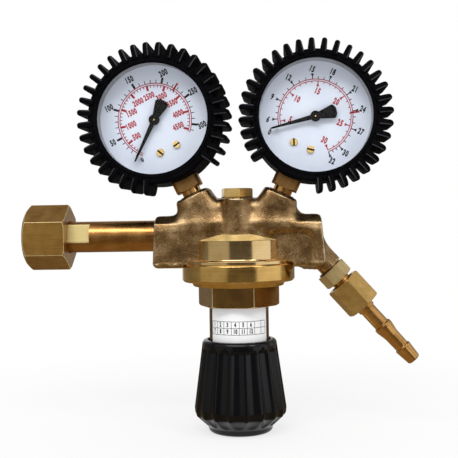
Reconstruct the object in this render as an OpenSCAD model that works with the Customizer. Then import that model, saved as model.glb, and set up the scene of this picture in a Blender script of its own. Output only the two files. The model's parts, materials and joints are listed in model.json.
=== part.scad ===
// Two-gauge pressure regulator for a shielding gas cylinder.
// The origin is the centre of the inlet nut's open face. X runs along the inlet
// axis into the regulator, Y runs from the front to the back and Z is up, along
// the axis of the valve, the diaphragm and the adjusting knob.

/* [Inlet] */
// Inlet nut, width across flats
nut_af = 30; // [28:0.5:36]
// Inlet nut, length
nut_l = 22.6; // [19:0.1:30]
// Inlet nut, outside diameter of its thread
nut_thread_d = 21.8; // [20:0.1:24]
// Inlet nut, length of the thread
nut_thread_l = 9; // [8:0.1:9.1]
// Inlet nut, depth of the shoulder that draws the nipple in
nut_shoulder_l = 14.5; // [14.4:0.1:16]
// Inlet nut, turn of its flats from upright
nut_turn = -2.5; // [-30:0.5:30]
// Inlet nut, corner chamfer at the open end
nut_chamfer = 3.6; // [1:0.1:4]
// Inlet pipe, outside diameter
pipe_d = 16; // [14:0.1:17]
// Inlet pipe, free length between the nut and the body
pipe_free_l = 46.7; // [25:0.1:80]
// Inlet pipe, gas passage
pipe_bore_d = 5; // [3:0.1:6]
// Inlet pipe, width across the two wrench flats
flat_af = 13; // [11:0.1:15]
// Inlet pipe, reach of the wrench flats past the nut
flat_reach = 10.3; // [5:0.1:15]
// Inlet pipe, diameter of the nipple collar inside the nut
collar_d = 19.4; // [18:0.1:20]
// Inlet pipe, length of the nipple collar
collar_l = 3.6; // [2:0.1:5]
// Inlet seal ring, thickness
inlet_seal_t = 1.5; // [0.5:0.1:2.5]
// Inlet filter, diameter
filter_d = 7.4; // [5:0.1:9]
// Inlet filter, length
filter_l = 11; // [6:0.5:20]

/* [Forged body] */
// Left arm, length from the valve axis
arm_left = 42.5; // [38:0.1:50]
// Right arm, length from the valve axis
arm_right = 42.7; // [38:0.1:50]
// Arms, depth from front to back
arm_depth = 26; // [24:0.1:32]
// Arms, height above the inlet axis
arm_top = 10.7; // [10:0.1:14]
// Arms, drop below the inlet axis
arm_drop = 17; // [15.5:0.1:20]
// Arms, draft of the left end
draft_left = 2.5; // [0:0.1:5]
// Arms, draft of the right end
draft_right = 5; // [0:0.1:7]
// Gauge bosses, tilt of their axes from upright
gauge_tilt = 25; // [20:0.5:30]
// Gauge bosses, distance of the face centre from the valve axis
boss_x = 22.9; // [22:0.1:26]
// Gauge bosses, height of the face centre
boss_z = 20.6; // [19:0.1:24]
// Gauge bosses, width along the face
boss_w = 16.4; // [15.6:0.1:18]
// Gauge bosses, depth from front to back
boss_depth = 21; // [18:0.1:24]
// Valve boss, height of its top face
valve_boss_z = 18.9; // [17:0.1:22]
// Valve boss, diameter at the top
valve_boss_d = 20.4; // [17.5:0.1:22]
// Valve boss, width of the rib on its front and back
valve_rib_d = 14.7; // [12:0.1:17]
// Valve boss, reach of the rib from the valve axis
valve_rib_reach = 15.5; // [14:0.1:17]
// Machined band, diameter
band_d = 46.6; // [44:0.1:50]
// Machined band, depth of its top edge below the inlet axis
band_top = 2.6; // [1:0.1:4]
// Machined cone above the band, rise for each millimetre inwards
cone_slope = 0.375; // [0.2:0.005:0.5]
// Body flange, diameter
flange_d = 57.2; // [54:0.1:60]
// Body flange, thickness
flange_t = 1.8; // [1:0.1:3]
// Body flange, depth of its lower face below the inlet axis
flange_drop = 14.7; // [13.5:0.1:16]
// Body spigot inside the bonnet, outside diameter
spigot_d = 52; // [50:0.1:54]
// Body spigot inside the bonnet, length
spigot_l = 5.2; // [4:0.1:6]

/* [Valve] */
// Valve plug, width across flats
plug_af = 15; // [13:0.1:17]
// Valve plug, height of the hexagon
plug_hex_h = 4.5; // [3:0.1:6]
// Valve plug, thread diameter
plug_thread_d = 14; // [13:0.1:15]
// Valve plug, length of the threaded shank below its hexagon
plug_shank_l = 11.8; // [10:0.1:13]
// Valve plug washer, thickness
plug_washer_t = 0.9; // [0.5:0.1:1.5]
// Valve chamber, diameter
chamber_d = 12.4; // [11.5:0.1:13]
// Valve chamber, depth of its floor below the inlet axis
chamber_drop = 3.5; // [3:0.1:4]
// Wall between the valve chamber and the diaphragm chamber
valve_wall = 3; // [2:0.1:4]
// Valve seat, height
seat_h = 2.5; // [1.5:0.1:3]
// Valve seat, height of the raised lip
seat_lip_h = 0.5; // [0.3:0.1:0.8]
// Valve seat, orifice diameter
orifice_d = 2.6; // [2.2:0.1:3.2]
// Poppet, diameter of its head
poppet_d = 8.4; // [7:0.1:9]
// Poppet, height of its head
poppet_h = 5; // [3:0.1:6]
// Poppet, diameter of its guide stem
poppet_stem_d = 4; // [3:0.1:5]
// Poppet spring, wire diameter
poppet_wire_d = 0.7; // [0.5:0.05:0.9]
// Push pin, diameter at the orifice
pin_d = 1.8; // [1.4:0.1:2]

/* [Diaphragm and bonnet] */
// Diaphragm chamber, diameter
low_chamber_d = 40; // [36:0.1:44]
// Diaphragm chamber, height
low_chamber_h = 10.9; // [9:0.1:11.5]
// Diaphragm, thickness
diaphragm_t = 1; // [0.6:0.1:1.5]
// Diaphragm, diameter
diaphragm_d = 49; // [46:0.1:51]
// Slip ring under the diaphragm, thickness
slip_ring_t = 1; // [0.5:0.1:1.5]
// Diaphragm plate, diameter
plate_d = 29; // [24:0.1:31]
// Diaphragm plate, thickness
plate_t = 2; // [1.5:0.1:3]
// Diaphragm and valve, full lift
valve_lift = 1; // [0.5:0.1:1.5]
// Bonnet flange, diameter
bonnet_d = 59; // [57:0.1:64]
// Bonnet flange, height
bonnet_flange_h = 9.4; // [8:0.1:12]
// Bonnet neck ring, diameter
neck_ring_d = 49.6; // [44:0.1:54]
// Bonnet neck ring, height
neck_ring_h = 2.4; // [1:0.1:4]
// Bonnet hexagon, width across flats
bonnet_af = 38; // [36:0.5:42]
// Bonnet hexagon, height
bonnet_hex_h = 10.6; // [8:0.1:14]
// Bonnet hexagon, angle of a corner from the front
bonnet_hex_turn = 21.1; // [0:0.1:60]
// Bonnet tube, outside diameter
tube_d = 31.2; // [30:0.1:32]
// Bonnet tube, length below the hexagon
tube_l = 42; // [38:0.1:46]
// Bonnet tube, wall
tube_wall = 2; // [1.5:0.1:2.4]
// Bonnet tube, thickness of the threaded end wall
end_wall = 8; // [6:0.1:9]
// Main spring, wire diameter
spring_wire_d = 3; // [2:0.1:3.4]
// Main spring, mean diameter of its coils
spring_d = 21.4; // [19:0.1:22]
// Main spring, number of coils
spring_coils = 7; // [5:1:8]
// Label around the tube, thickness
label_t = 0.12; // [0.1:0.01:0.2]
// Label around the tube, height
label_h = 16.6; // [10:0.1:20]
// Label around the tube, angle that it wraps
label_wrap = 136; // [90:1:180]
// Label around the tube, angle of its left edge from the front
label_start = -64; // [-90:1:0]

/* [Adjusting knob] */
// Adjusting screw, thread diameter
screw_d = 10; // [8:0.1:12]
// Adjusting screw, thread pitch
screw_pitch = 2; // [1:0.1:3]
// Adjusting screw, number of turns
screw_turns = 5; // [3:0.5:5]
// Knob, diameter of the mouth at its rim
knob_top_d = 39.6; // [38:0.1:44]
// Knob, largest diameter
knob_d = 48.4; // [44:0.1:56]
// Knob, bore around the bonnet tube
knob_bore_d = 33.2; // [32.6:0.1:34]
// Knob, height
knob_h = 51; // [46:0.1:60]
// Knob, thickness of the floor
knob_floor = 11; // [10:0.1:13]
// Knob, number of flutes
knob_flutes = 18; // [12:1:24]
// Knob, radius of each flute
flute_r = 3.6; // [2:0.1:5]
// Knob, depth of each flute
flute_depth = 1.1; // [0.5:0.1:1.8]

/* [Outlet] */
// Outlet axis, slope below the inlet axis
outlet_slope = 48; // [40:0.5:60]
// Outlet axis, distance from the valve axis where it crosses the inlet axis
outlet_x = 31.2; // [28:0.1:34]
// Outlet boss, width across its flats
outlet_boss_af = 17.5; // [16:0.1:20]
// Outlet boss, distance of its face along the outlet axis
outlet_boss_s = 24.3; // [22:0.1:28]
// Outlet adapter, width across flats
adapter_af = 14; // [13.5:0.1:17]
// Outlet adapter, length of the hexagon
adapter_hex_l = 8.3; // [6:0.1:10]
// Outlet adapter, diameter of its neck
adapter_neck_d = 10; // [9:0.1:11]
// Outlet adapter, length of its neck
adapter_neck_l = 1.9; // [1:0.1:3]
// Outlet thread diameter, between the adapter and its nut
outlet_thread_d = 13.2; // [12:0.1:14]
// Outlet nut, width across flats
outlet_nut_af = 17; // [17:0.1:22]
// Outlet nut, length
outlet_nut_l = 16.5; // [14:0.1:20]
// Outlet nut, angle of a corner from the front
outlet_nut_turn = 22; // [0:1:60]
// Hose barb, diameter of the tail between its ridges and the nut
barb_d = 7.8; // [6.5:0.1:8.4]
// Hose barb, diameter of the first ridge
ridge_d = 10; // [9:0.1:11]
// Hose barb, diameter of the ridge near the tip
tip_ridge_d = 9; // [8.4:0.1:9.8]
// Hose barb, diameter at the foot of each ridge
barb_foot_d = 7.2; // [6:0.1:7.8]
// Hose barb, length from the nut to the first ridge
barb_tail_l = 14.1; // [8:0.1:20]
// Hose barb, length from the first ridge to the second
ridge_pitch = 15.2; // [8:0.1:20]
// Hose barb, length of the second ridge to the tip
tip_l = 9; // [6:0.1:12]
// Hose barb, length of the crest land on the first ridge
ridge_land = 1.6; // [1:0.1:3]
// Hose barb, bore
barb_bore_d = 4; // [3:0.1:5]

/* [Gauges] */
// Gauge, distance from the boss face to the centre of the dial
gauge_reach = 43.3; // [41:0.1:50]
// Gauge case, outside diameter
case_d = 62; // [60:0.1:66]
// Gauge case, wall
case_wall = 0.8; // [0.5:0.1:1.2]
// Gauge case, depth in front of the stem axis
case_front = 18.5; // [17.5:0.1:20]
// Gauge case, depth behind the stem axis
case_back = 9.5; // [9:0.1:11]
// Gauge dial, depth of its face in front of the stem axis
dial_y = 11; // [10.6:0.1:12]
// Gauge dial, thickness
dial_t = 0.4; // [0.3:0.1:0.8]
// Gauge window, thickness
window_t = 1.8; // [1.4:0.1:3]
// Rubber boot, diameter of the opening in its lip
boot_open_d = 57.4; // [54:0.1:59]
// Rubber boot, thickness of the wall at the back
boot_wall = 2.9; // [2.5:0.1:3.5]
// Rubber boot, thickness of the front lip
boot_lip = 2.6; // [2:0.1:4]
// Rubber boot, radius at the fin tips
fin_tip_r = 38.6; // [37:0.1:41]
// Rubber boot, radius at the inner ends of the fins on the lip
fin_inner_r = 31.5; // [30:0.1:32.5]
// Rubber boot, thickness of each fin
fin_t = 2.1; // [1.5:0.1:2.8]
// Rubber boot, number of fin places around it
fin_places = 36; // [30:1:40]
// Rubber boot, half angle without fins at the stem
fin_free = 25; // [20:1:34]
// Gauge socket, width across its square
socket_af = 14; // [12:0.1:16]
// Gauge socket, thread diameter
socket_thread_d = 13.2; // [11:0.1:13.6]
// Gauge socket, length of the thread in the boss
socket_thread_l = 9.5; // [8:0.1:10]
// Gauge socket, diameter of the neck
socket_neck_d = 10; // [8.5:0.1:11]
// Gauge socket, length of the neck
socket_neck_l = 3.9; // [3:0.1:5]
// Gauge stem washer, thickness
stem_washer_t = 1.4; // [1:0.1:2]
// Bourdon tube, mean radius
bourdon_r = 22; // [20:0.1:24]
// Bourdon tube, width of the flat tube
bourdon_w = 7; // [5:0.1:8]
// Bourdon tube, thickness of the flat tube
bourdon_t = 2.6; // [2:0.1:4]
// Movement, gear module
gear_module = 0.4; // [0.35:0.01:0.42]
// Movement, teeth on the pinion
pinion_teeth = 8; // [8:1:8]
// Movement, teeth on a full turn of the sector gear
sector_teeth = 60; // [60:1:60]
// Pointer, length from its hub to the tip
pointer_l = 24; // [20:0.1:27]
// Pointer, length of the counterweight
counter_l = 11; // [8:0.1:13]
// Pointer, radius of the hub
hub_r = 2.7; // [2:0.1:3.5]
// Pointer, angle of the tip at rest, from the dial's right
pointer_rest = 219; // [215:1:230]
// Pointer, sweep of the full scale
pointer_sweep = 264; // [240:1:270]

/* [Hidden] */
$fn = 96;

// Colours
FORGED = "#8a6a45";
BRASS = "#b8964a";
BRIGHT = "#d8b358";
STEEL = "#9aa0a4";
RUBBER = "#202022";
BLACK = "#191919";

// Clearances
eps = 0.01;
over = 1;              // run of a bore past the face it opens in
turn_gap = 0.3;        // between pieces that turn or slide past each other
fit_gap = 0.1;         // around a piece that is put into its seat
pin_gap = 0.05;        // around a shaft in its bearing

// Places along the inlet axis
body_x = nut_l + pipe_free_l + arm_left;
collar_x = nut_shoulder_l - turn_gap - collar_l;
relief_d = nut_thread_d + 0.8;
nut_rear_chamfer = 1.2;
flat_x = nut_shoulder_l + over;
tail_l = 12;
tail_d = 13;
spot_face_d = pipe_d + 3;
spot_face_l = 5;

// Forged body, seen along the arms and from the front
arm_top_inset = 6;
arm_slant_inset = 1.8;
arm_slant_z = arm_top - 3.7;
arm_side_z = arm_top - 8;
arm_foot_z = 2 - arm_drop;
arm_foot_inset = 1.6;
web_depth = boss_depth - 2;
valley_run = 5;
valley_drop = 5.6;
boss_l = 18;
boss_corner_r = 5;
fillet_r = 3;
cone_w = 12;
passage_d = 3;
low_passage_d = 4;
outlet_passage_d = 4.4;
adapter_stub_l = 10;
guide_hole_d = 5;

// Places along the valve axis, from the inlet axis
spigot_z = -flange_drop - spigot_l;
diaphragm_z = spigot_z - diaphragm_t;
ledge_z = diaphragm_z - slip_ring_t;
chamber_z = -chamber_drop;
low_roof_z = chamber_z - valve_wall;
lip_z = chamber_z + seat_h;
plug_z = valve_boss_z + plug_washer_t;
plug_end_z = plug_z - plug_shank_l;
plate_z = diaphragm_z - plate_t;
bonnet_z = -flange_drop - bonnet_flange_h;
hex_z = bonnet_z - neck_ring_h - bonnet_hex_h;
tube_end_z = hex_z - tube_l;
travel = screw_pitch * screw_turns;
button_t = 4;
button_z = tube_end_z + end_wall + turn_gap + 0.7;
knob_floor_z = tube_end_z - travel - 3;
knob_z = knob_floor_z - knob_floor;
tube_bore_d = tube_d - 2 * tube_wall;
poppet_tail_l = 6;
plug_pocket_h = 4;
plug_guide_h = 9;
guide_d = 3.2;
pin_head_d = 14;
pin_head_h = 1.8;
stud_d = 4;
stud_l = 3;
stud_nut_af = 7;
stud_nut_h = 2.4;
centring_d = spring_d - spring_wire_d - 0.8;
plate_boss_h = 2.6;
plate_recess_d = 9;
crown_r = 2.4;
crown_h = 1.6;
cone_h = 2.2;
screw_hex_af = 15;
screw_hex_h = 5;
screw_sink = 4;
vent_d = 2;
foot_h = 2.8;
belly_h = 12;
rim_h = 3.8;

// Places along the outlet axis
adapter_washer_t = 0.8;
adapter_s = outlet_boss_s + adapter_washer_t;
outlet_nut_s = adapter_s + adapter_hex_l + adapter_neck_l - adapter_washer_t;
outlet_thread_l = 9;
thread_start = 0.6;
barb_head_s = outlet_nut_s + outlet_thread_l + turn_gap;
barb_head_l = 2.2;
barb_head_d = outlet_thread_d - 0.8;
nut_shoulder_s = barb_head_s + barb_head_l + turn_gap;
nut_end_s = outlet_nut_s + outlet_nut_l;
barb_collar_d = 9.4;
barb_collar_l = 2.6;
barb_edge = 0.5;

// Gauge places, in the gauge's own frame: X right, Z away from the stem
case_r = case_d / 2;
case_in_r = case_r - case_wall;
boot_r = case_r + fit_gap;
inner_y = case_back - case_wall;
front_y = 1;
plate_y = -7.5;
movement_t = 0.8;
gear_y = -4.6;
gear_t = 1;
centre_dist = gear_module * (pinion_teeth + sector_teeth) / 2;
sector_angle = -42;
sector_pos = centre_dist * [cos(sector_angle), sin(sector_angle)];
sector_tail_l = 7.5;
tail_pin = sector_pos + [sector_tail_l, 0];
socket_top = 13;
socket_block_w = 12;
socket_low = gauge_reach - socket_neck_l;
socket_corner_af = socket_af * sqrt(2) - 2.4;
bourdon_start = 262;
bourdon_end = 2;
lug_y = front_y - 0.8;
dial_screw_r = 16.9;
dial_screw_angles = [-106, -74];
dial_screw_d = 2.2;
dial_screw_l = 6;
dial_screw_head_d = 3.9;
dial_screw_head_h = 0.9;
arbor_d = 1.4;
arbor_tip_d = 0.8;
plate_low = 19;
plate_half_w = 7;
shaft_wall = 2.4;
sector_shaft_d = 1.6;
link_pin_d = 1;
link_w = 2.4;
link_t = 0.5;
pointer_y = -dial_y - 2.6;
pointer_t = 0.6;
hub_t = 2.4;
tip_w = 0.84;
stop_r = 20.5;
stop_pin_d = 1.4;
stop_pin_l = 2.8;
stop_lead = 4.6;
tube_skin = 0.4;
lug_l = 4;
lug_w = 1.2;
lug_t = 1.8;
socket_passage_d = 2;
post_r = 1.9;
pillar_r = 0.7;
pillar_pos = [-1.8, 2.5];
window_gap = 0.3;
boot_back_t = 1.4;
boot_back_r = case_r - 5;

// A corner b between a and c as an arc of radius r
function unit(v) = v / norm(v);
function corner(a, b, c, r, n = 5) =
    r == 0 ? [b] :
    let (u = unit(a - b), v = unit(c - b),
         half = acos(u * v) / 2,
         mid = b + unit(u + v) * r / sin(half),
         p = b + u * r / tan(half),
         q = b + v * r / tan(half),
         a0 = atan2(p[1] - mid[1], p[0] - mid[0]),
         a1 = atan2(q[1] - mid[1], q[0] - mid[0]),
         sweep = a1 - a0 > 180 ? a1 - a0 - 360 : a1 - a0 < -180 ? a1 - a0 + 360 : a1 - a0)
    [for (i = [0:n]) mid + r * [cos(a0 + sweep * i / n), sin(a0 + sweep * i / n)]];

// A closed outline whose points are [x, y, corner radius]
function rounded(pts, n = 5) =
    let (k = len(pts), xy = [for (p = pts) [p[0], p[1]]])
    [for (i = [0:k - 1]) each corner(xy[(i + k - 1) % k], xy[i], xy[(i + 1) % k], pts[i][2], n)];

// The corners of a half outline and of its mirror image across the Y axis
function mirrored(side) =
    concat(side, [for (i = [len(side) - 1:-1:0]) [-side[i][0], side[i][1], side[i][2]]]);

// Frames
module at_axis() { translate([body_x, 0, 0]) children(); }
module along_x() { rotate([0, 90, 0]) children(); }
module along_y() { rotate([-90, 0, 0]) children(); }
module along_outlet(s = 0) {
    at_axis() translate([outlet_x, 0, 0]) rotate([0, 90 + outlet_slope, 0]) translate([0, 0, s]) children();
}
module at_port(side) {
    at_axis() translate([side * boss_x, 0, boss_z]) rotate([0, side * gauge_tilt, 0]) children();
}
module at_gauge(side) { at_port(side) translate([0, 0, gauge_reach]) children(); }

// A plate in the gauge's front plane from depth y to y + t
module plate(y, t) { translate([0, y + t, 0]) rotate([90, 0, 0]) linear_extrude(t) children(); }

// A hexagon bar on the Z axis with conical chamfers of radial width c0 below and c1 above
module hex_bar(af, h, c0 = 0, c1 = 0) {
    r = af / 2 / cos(30);
    slope = tan(30);
    intersection() {
        cylinder(r = r, h = h, $fn = 6);
        rotate_extrude() polygon([[0, 0], [r - c0, 0], [r + 1, c0 == 0 ? 0 : (c0 + 1) * slope],
            [r + 1, c1 == 0 ? h : h - (c1 + 1) * slope], [r - c1, h], [0, h]]);
    }
}

// A ring on the Z axis
module ring(r_out, r_in, h) {
    difference() {
        cylinder(r = r_out, h = h);
        translate([0, 0, -1]) cylinder(r = r_in, h = h + 2);
    }
}

// A round wire coiled on the Z axis, from z = 0 to z = h
module coil(r, wire_d, h, coils) {
    sides = 8;
    steps = coils * 16;
    rise = h - wire_d;
    points = [for (i = [0:steps]) let (a = 360 * coils * i / steps, z = wire_d / 2 + rise * i / steps)
        for (j = [0:sides - 1]) let (b = 360 * j / sides, q = r + wire_d / 2 * cos(b))
            [q * cos(a), q * sin(a), z + wire_d / 2 * sin(b)]];
    faces = concat([[for (j = [0:sides - 1]) j]],
        [for (i = [0:steps - 1]) for (j = [0:sides - 1]) let (k = (j + 1) % sides)
            each [[i * sides + j, (i + 1) * sides + j, (i + 1) * sides + k],
                  [i * sides + j, (i + 1) * sides + k, i * sides + k]]],
        [[for (j = [sides - 1:-1:0]) steps * sides + j]]);
    polyhedron(points, faces);
}

// Inlet

module inlet_nut() color(BRASS) difference() {
    along_x() rotate([0, 0, nut_turn]) hex_bar(nut_af, nut_l, nut_chamfer, nut_rear_chamfer);
    along_x() translate([0, 0, -over]) cylinder(d = nut_thread_d, h = nut_thread_l + over + eps);
    along_x() translate([0, 0, nut_thread_l]) cylinder(d = relief_d, h = nut_shoulder_l - nut_thread_l);
    along_x() cylinder(d = pipe_d + 4 * turn_gap, h = nut_l + over);
}

module inlet_pipe() color(BRASS) difference() {
    union() {
        translate([collar_x, 0, 0]) along_x() cylinder(d = collar_d, h = collar_l);
        difference() {
            translate([collar_x + eps, 0, 0]) along_x()
                cylinder(d = pipe_d, h = body_x - arm_left - collar_x - eps);
            for (side = [-1, 1])
                translate([flat_x, (side * (flat_af + pipe_d) - pipe_d) / 2, -pipe_d / 2])
                    cube([nut_l + flat_reach - flat_x, pipe_d, pipe_d]);
        }
        translate([body_x - arm_left - eps, 0, 0]) along_x() cylinder(d = tail_d, h = tail_l + eps);
    }
    translate([collar_x - over, 0, 0]) along_x() cylinder(d = pipe_bore_d, h = body_x);
    translate([collar_x - over, 0, 0]) along_x() cylinder(d = filter_d + 2 * fit_gap, h = filter_l + over);
}

module inlet_seal() color("#d8d4c4")
    translate([collar_x - inlet_seal_t, 0, 0]) along_x()
        ring(collar_d / 2 - 0.4, filter_d / 2 - 1, inlet_seal_t);

module inlet_filter() color("#a88d55")
    translate([collar_x, 0, 0]) along_x() cylinder(d = filter_d, h = filter_l);

// Forged body

module arm_profile() {
    half = arm_depth / 2;
    polygon(rounded(mirrored([[half - arm_top_inset, arm_top, 2], [half - arm_slant_inset, arm_slant_z, 3],
        [half, arm_side_z, 3], [half, arm_foot_z, 1], [half - arm_foot_inset, -arm_drop, 1.2]])));
}

module arm_outline() {
    h = arm_top + arm_drop;
    polygon(rounded([[-arm_left, arm_top, 2.5], [-arm_left - h * tan(draft_left), -arm_drop, 3],
        [arm_right + h * tan(draft_right), -arm_drop, 4], [arm_right, arm_top, 3]]));
}

module arms() {
    intersection() {
        rotate([90, 0, 90]) linear_extrude(3 * arm_left, center = true) arm_profile();
        rotate([90, 0, 0]) linear_extrude(2 * arm_depth, center = true) arm_outline();
    }
}

// Corner of a gauge boss, s along its face from the centre
function boss_corner(side, s) = [side * (boss_x + s * cos(gauge_tilt)), boss_z - s * sin(gauge_tilt)];

// The web that joins the gauge bosses and the valve boss
module web() {
    half = boss_w / 2;
    outer = boss_corner(1, half);
    inner = boss_corner(1, -half);
    rotate([90, 0, 0]) linear_extrude(web_depth, center = true) polygon(rounded(mirrored([
        [outer[0] + 1, arm_side_z, 0], [outer[0], outer[1], 1.5], [inner[0], inner[1], 1.5],
        [inner[0] - valley_run, inner[1] - valley_drop, 3]])));
}

module gauge_boss(side) {
    w = boss_w / 2;
    d = boss_depth / 2;
    r = boss_corner_r;
    translate([side * boss_x, 0, boss_z]) rotate([0, side * gauge_tilt, 0]) translate([0, 0, -boss_l])
        linear_extrude(boss_l) polygon(rounded([[-w, -d, r], [w, -d, r], [w, d, r], [-w, d, r]]));
}

module valve_boss() {
    cylinder(d = valve_boss_d, h = valve_boss_z);
    for (side = [-1, 1])
        translate([0, side * (valve_rib_reach - valve_rib_d / 2), 0])
            cylinder(d = valve_rib_d, h = valve_boss_z);
}

// The turned lower part: cone, band, fillet, flange and spigot
module turned_base() {
    band_r = band_d / 2;
    flange_z = -flange_drop + flange_t;
    rotate_extrude() polygon(concat(
        [[0, spigot_z], [spigot_d / 2, spigot_z], [spigot_d / 2, -flange_drop],
         [flange_d / 2, -flange_drop], [flange_d / 2, flange_z]],
        [for (i = [0:6]) [band_r, flange_z] + fillet_r * [1 - sin(15 * i), 1 - cos(15 * i)]],
        [[band_r, -band_top], [band_r - cone_w, -band_top + cone_w * cone_slope],
         [0, -band_top + cone_w * cone_slope]]));
}

module outlet_boss() {
    translate([outlet_x, 0, 0]) rotate([0, 90 + outlet_slope, 0]) rotate([0, 0, 22.5])
        cylinder(r = outlet_boss_af / 2 / cos(22.5), h = outlet_boss_s, $fn = 8);
}

module body() color(FORGED) difference() {
    at_axis() union() {
        difference() {
            union() {
                arms();
                outlet_boss();
            }
            translate([0, 0, -flange_drop - arm_left])
                cylinder(d = bonnet_d + 4 * turn_gap, h = arm_left);
        }
        web();
        for (side = [-1, 1]) gauge_boss(side);
        valve_boss();
        turned_base();
    }
    body_bores();
}

module body_bores() {
    at_axis() {
        // Spot face, inlet port and passage to the valve chamber
        translate([-arm_left - spot_face_l, 0, 0]) along_x() {
            cylinder(d = spot_face_d, h = spot_face_l);
            cylinder(d = tail_d + fit_gap, h = spot_face_l + tail_l + over);
            cylinder(d = pipe_bore_d, h = spot_face_l + arm_left);
        }
        // Plug port, valve chamber and pin hole
        translate([0, 0, plug_end_z - over]) cylinder(d = plug_thread_d + fit_gap, h = 2 * valve_boss_z);
        translate([0, 0, chamber_z]) cylinder(d = chamber_d, h = valve_boss_z);
        translate([0, 0, low_roof_z - over]) cylinder(d = guide_hole_d, h = valve_wall + 2 * over);
        // Diaphragm chamber
        translate([0, 0, spigot_z - over]) cylinder(d = low_chamber_d, h = low_chamber_h + over);
        translate([0, 0, spigot_z]) cylinder(d = low_chamber_d / 2, h = low_roof_z - spigot_z);
    }
    for (side = [-1, 1]) at_port(side)
        translate([0, 0, -socket_thread_l - over])
            cylinder(d = socket_thread_d + fit_gap, h = 2 * socket_thread_l);
    // The left gauge passage ends in the inlet passage, the right one in the diaphragm chamber
    left_run = boss_z / cos(gauge_tilt);
    right_run = (boss_z - spigot_z - low_chamber_h + over) / cos(gauge_tilt);
    at_port(-1) translate([0, 0, -left_run]) cylinder(d = passage_d, h = left_run);
    at_port(1) translate([0, 0, -right_run]) cylinder(d = low_passage_d, h = right_run);
    along_outlet(outlet_boss_s - adapter_stub_l - over)
        cylinder(d = adapter_neck_d + fit_gap, h = adapter_stub_l + 3 * over);
    along_outlet(-outlet_x / 2) cylinder(d = outlet_passage_d, h = outlet_x);
}

// Valve

module valve_plug() color(BRIGHT) at_axis() difference() {
    union() {
        translate([0, 0, plug_z]) rotate([0, 0, -76.5]) hex_bar(plug_af, plug_hex_h, 0, 1);
        translate([0, 0, plug_end_z]) cylinder(d = plug_thread_d, h = plug_shank_l + eps);
    }
    translate([0, 0, plug_end_z - over]) cylinder(d = plug_thread_d - 4, h = plug_pocket_h + over);
    translate([0, 0, plug_end_z]) cylinder(d = poppet_stem_d + 2 * fit_gap, h = plug_guide_h);
}

module plug_washer() color("#b5683c") at_axis()
    translate([0, 0, valve_boss_z]) ring(plug_thread_d / 2 + 1.3, plug_thread_d / 2 + fit_gap, plug_washer_t);

module valve_seat() color(BRIGHT) at_axis() translate([0, 0, chamber_z]) difference() {
    union() {
        cylinder(d = chamber_d - fit_gap, h = seat_h - seat_lip_h);
        cylinder(d = orifice_d + 1.8, h = seat_h);
    }
    translate([0, 0, -over]) cylinder(d = orifice_d, h = seat_h + 2 * over);
}

module poppet() color(BRASS) at_axis() translate([0, 0, lip_z]) {
    cylinder(d = poppet_d, h = poppet_h);
    cylinder(d = poppet_stem_d, h = plug_end_z - lip_z + poppet_tail_l);
}

module poppet_spring() color(STEEL) at_axis() translate([0, 0, lip_z + poppet_h])
    coil(poppet_stem_d / 2 + poppet_wire_d, poppet_wire_d,
        plug_end_z + plug_pocket_h - lip_z - poppet_h, 6);

module push_pin() color(STEEL) at_axis() {
    translate([0, 0, spigot_z]) cylinder(d = pin_head_d, h = pin_head_h);
    translate([0, 0, spigot_z]) cylinder(d = guide_d, h = low_roof_z - spigot_z - 1.5 * valve_lift);
    translate([0, 0, spigot_z]) cylinder(d = pin_d, h = lip_z - spigot_z);
    translate([0, 0, plate_z - stud_l]) cylinder(d = stud_d, h = spigot_z - plate_z + stud_l + eps);
}

// Diaphragm and bonnet

module diaphragm() color(RUBBER) at_axis() {
    r = crown_r;
    t = diaphragm_t;
    hole_r = stud_d / 2 + fit_gap;
    mid = (plate_d + low_chamber_d) / 4 + turn_gap;
    translate([0, 0, diaphragm_z]) rotate_extrude() polygon(concat(
        [[hole_r, 0], [mid - r, 0]],
        [for (i = [1:7]) [mid - r * cos(22.5 * i), crown_h * sin(22.5 * i)]],
        [[mid + r, 0], [diaphragm_d / 2, 0], [diaphragm_d / 2, t], [mid + r, t]],
        [for (i = [1:7]) [mid + r * cos(22.5 * i), t + crown_h * sin(22.5 * i)]],
        [[mid - r, t], [hole_r, t]]));
}

module diaphragm_plate() color(STEEL) at_axis() difference() {
    union() {
        translate([0, 0, plate_z]) cylinder(d = plate_d, h = plate_t);
        translate([0, 0, plate_z - plate_boss_h]) cylinder(d = centring_d, h = plate_boss_h + eps);
    }
    translate([0, 0, plate_z - plate_recess_d]) cylinder(d = stud_d + 2 * fit_gap, h = 2 * plate_recess_d);
    translate([0, 0, plate_z - plate_recess_d]) cylinder(d = plate_recess_d, h = plate_recess_d);
}

module plate_nut() color(STEEL) at_axis() translate([0, 0, plate_z - stud_nut_h]) difference() {
    hex_bar(stud_nut_af, stud_nut_h, 0.5, 0);
    translate([0, 0, -over]) cylinder(d = stud_d + 2 * pin_gap, h = stud_nut_h + 2 * over);
}

module slip_ring() color(BRASS) at_axis()
    translate([0, 0, ledge_z]) ring(diaphragm_d / 2, plate_d / 2 + 1.5, slip_ring_t);

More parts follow.
